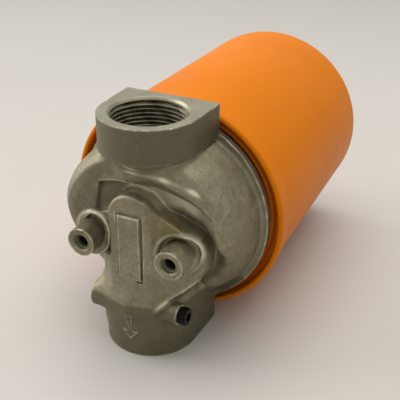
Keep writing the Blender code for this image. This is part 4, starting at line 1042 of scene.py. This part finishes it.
def add_plug(material):
    low = (GAUGE_X - 6, PLUG_START_Y - 1, GAUGE_Z - 6)
    high = (GAUGE_X + 6, PLUG_END_Y + 1, GAUGE_Z + 6)
    places, quads = contour(plug_field, low, high, PLUG_GRID)
    mesh_object("plug", places, quads, (material,), "head", ("gauge_port_plug",), sharp=SHARP)


# ---------------------------------------------------------------- valve spring and CAD parts

SPRING_R, SPRING_WIRE_R, SPRING_TURNS = 4.0, 0.55, 4
SPRING_STEPS, SPRING_SIDES = 36, 12       # per turn, and round the wire
SPRING_LOW, SPRING_HIGH = 8.25, 17.15     # ends of the wire's middle

# Dark and light shade, roughness and metallic share
STEEL = ((0.42, 0.42, 0.41), (0.55, 0.55, 0.54), 0.36, 1.0)
SPRING_STEEL = ((0.25, 0.25, 0.25), (0.36, 0.36, 0.37), 0.32, 1.0)
ZINC = ((0.50, 0.50, 0.47), (0.66, 0.66, 0.63), 0.38, 0.9)


def add_valve_spring(material):
    """Coil under the poppet; in the real valve it shortens as the valve opens."""
    turn = np.linspace(0, 1, SPRING_TURNS * SPRING_STEPS + 1)[:, None]
    section = np.linspace(0, 2 * np.pi, SPRING_SIDES, endpoint=False)[None]
    height = SPRING_LOW + (SPRING_HIGH - SPRING_LOW) * turn + SPRING_WIRE_R * np.sin(section)
    radius = SPRING_R + SPRING_WIRE_R * np.cos(section)
    rings = around(2, (VALVE_X, 0, 0), height, radius, 2 * np.pi * SPRING_TURNS * turn)
    cap = np.array([(0, i, i + 1, i + 2) for i in range(1, SPRING_SIDES - 2, 2)])
    far_cap = cap + (len(rings) - 1) * SPRING_SIDES
    quads = np.concatenate([ring_grid(rings, closed=False), cap[:, ::-1], far_cap])
    places = rings.reshape(-1, 3)
    piece = mesh_object("valve_spring", places, outward(places, quads), (material,), "head",
                        ("bypass_spring",), sharp=60)
    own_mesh(piece)


def dress(node, material):
    """Give a part that keeps its CAD shape its material."""
    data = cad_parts[node].data
    data.materials.clear()
    data.materials.append(material)


def main():
    add_camera()
    add_lights()
    add_floor(floor_surface())
    cast, machined, threads = cast_metal(), machined_metal(), thread_metal()
    paint, black = orange_paint(), rubber("black_rubber")
    steel = plain_metal("plain_steel", *STEEL)
    spring = plain_metal("spring_steel", *SPRING_STEEL)
    zinc = plain_metal("zinc_plate", *ZINC)
    oxide = black_plug()
    add_casting(cast, machined, threads)
    add_threads(threads, steel)
    add_mouths(machined)
    add_can(paint, black)
    add_plug(oxide)
    add_valve_spring(spring)
    for node, material in (("bypass_valve_body", steel), ("bypass_o_ring", black), ("bypass_poppet", steel),
                           ("bypass_spring_plate", zinc), ("bypass_snap_ring", oxide),
                           ("base_plate", steel), ("element_grommet", black), ("open_end_cap", zinc),
                           ("pleated_media", paper()), ("pleat_seam_clip", zinc), ("centre_tube", zinc),
                           ("closed_end_cap", zinc), ("element_spring", spring)):
        dress(node, material)


main()
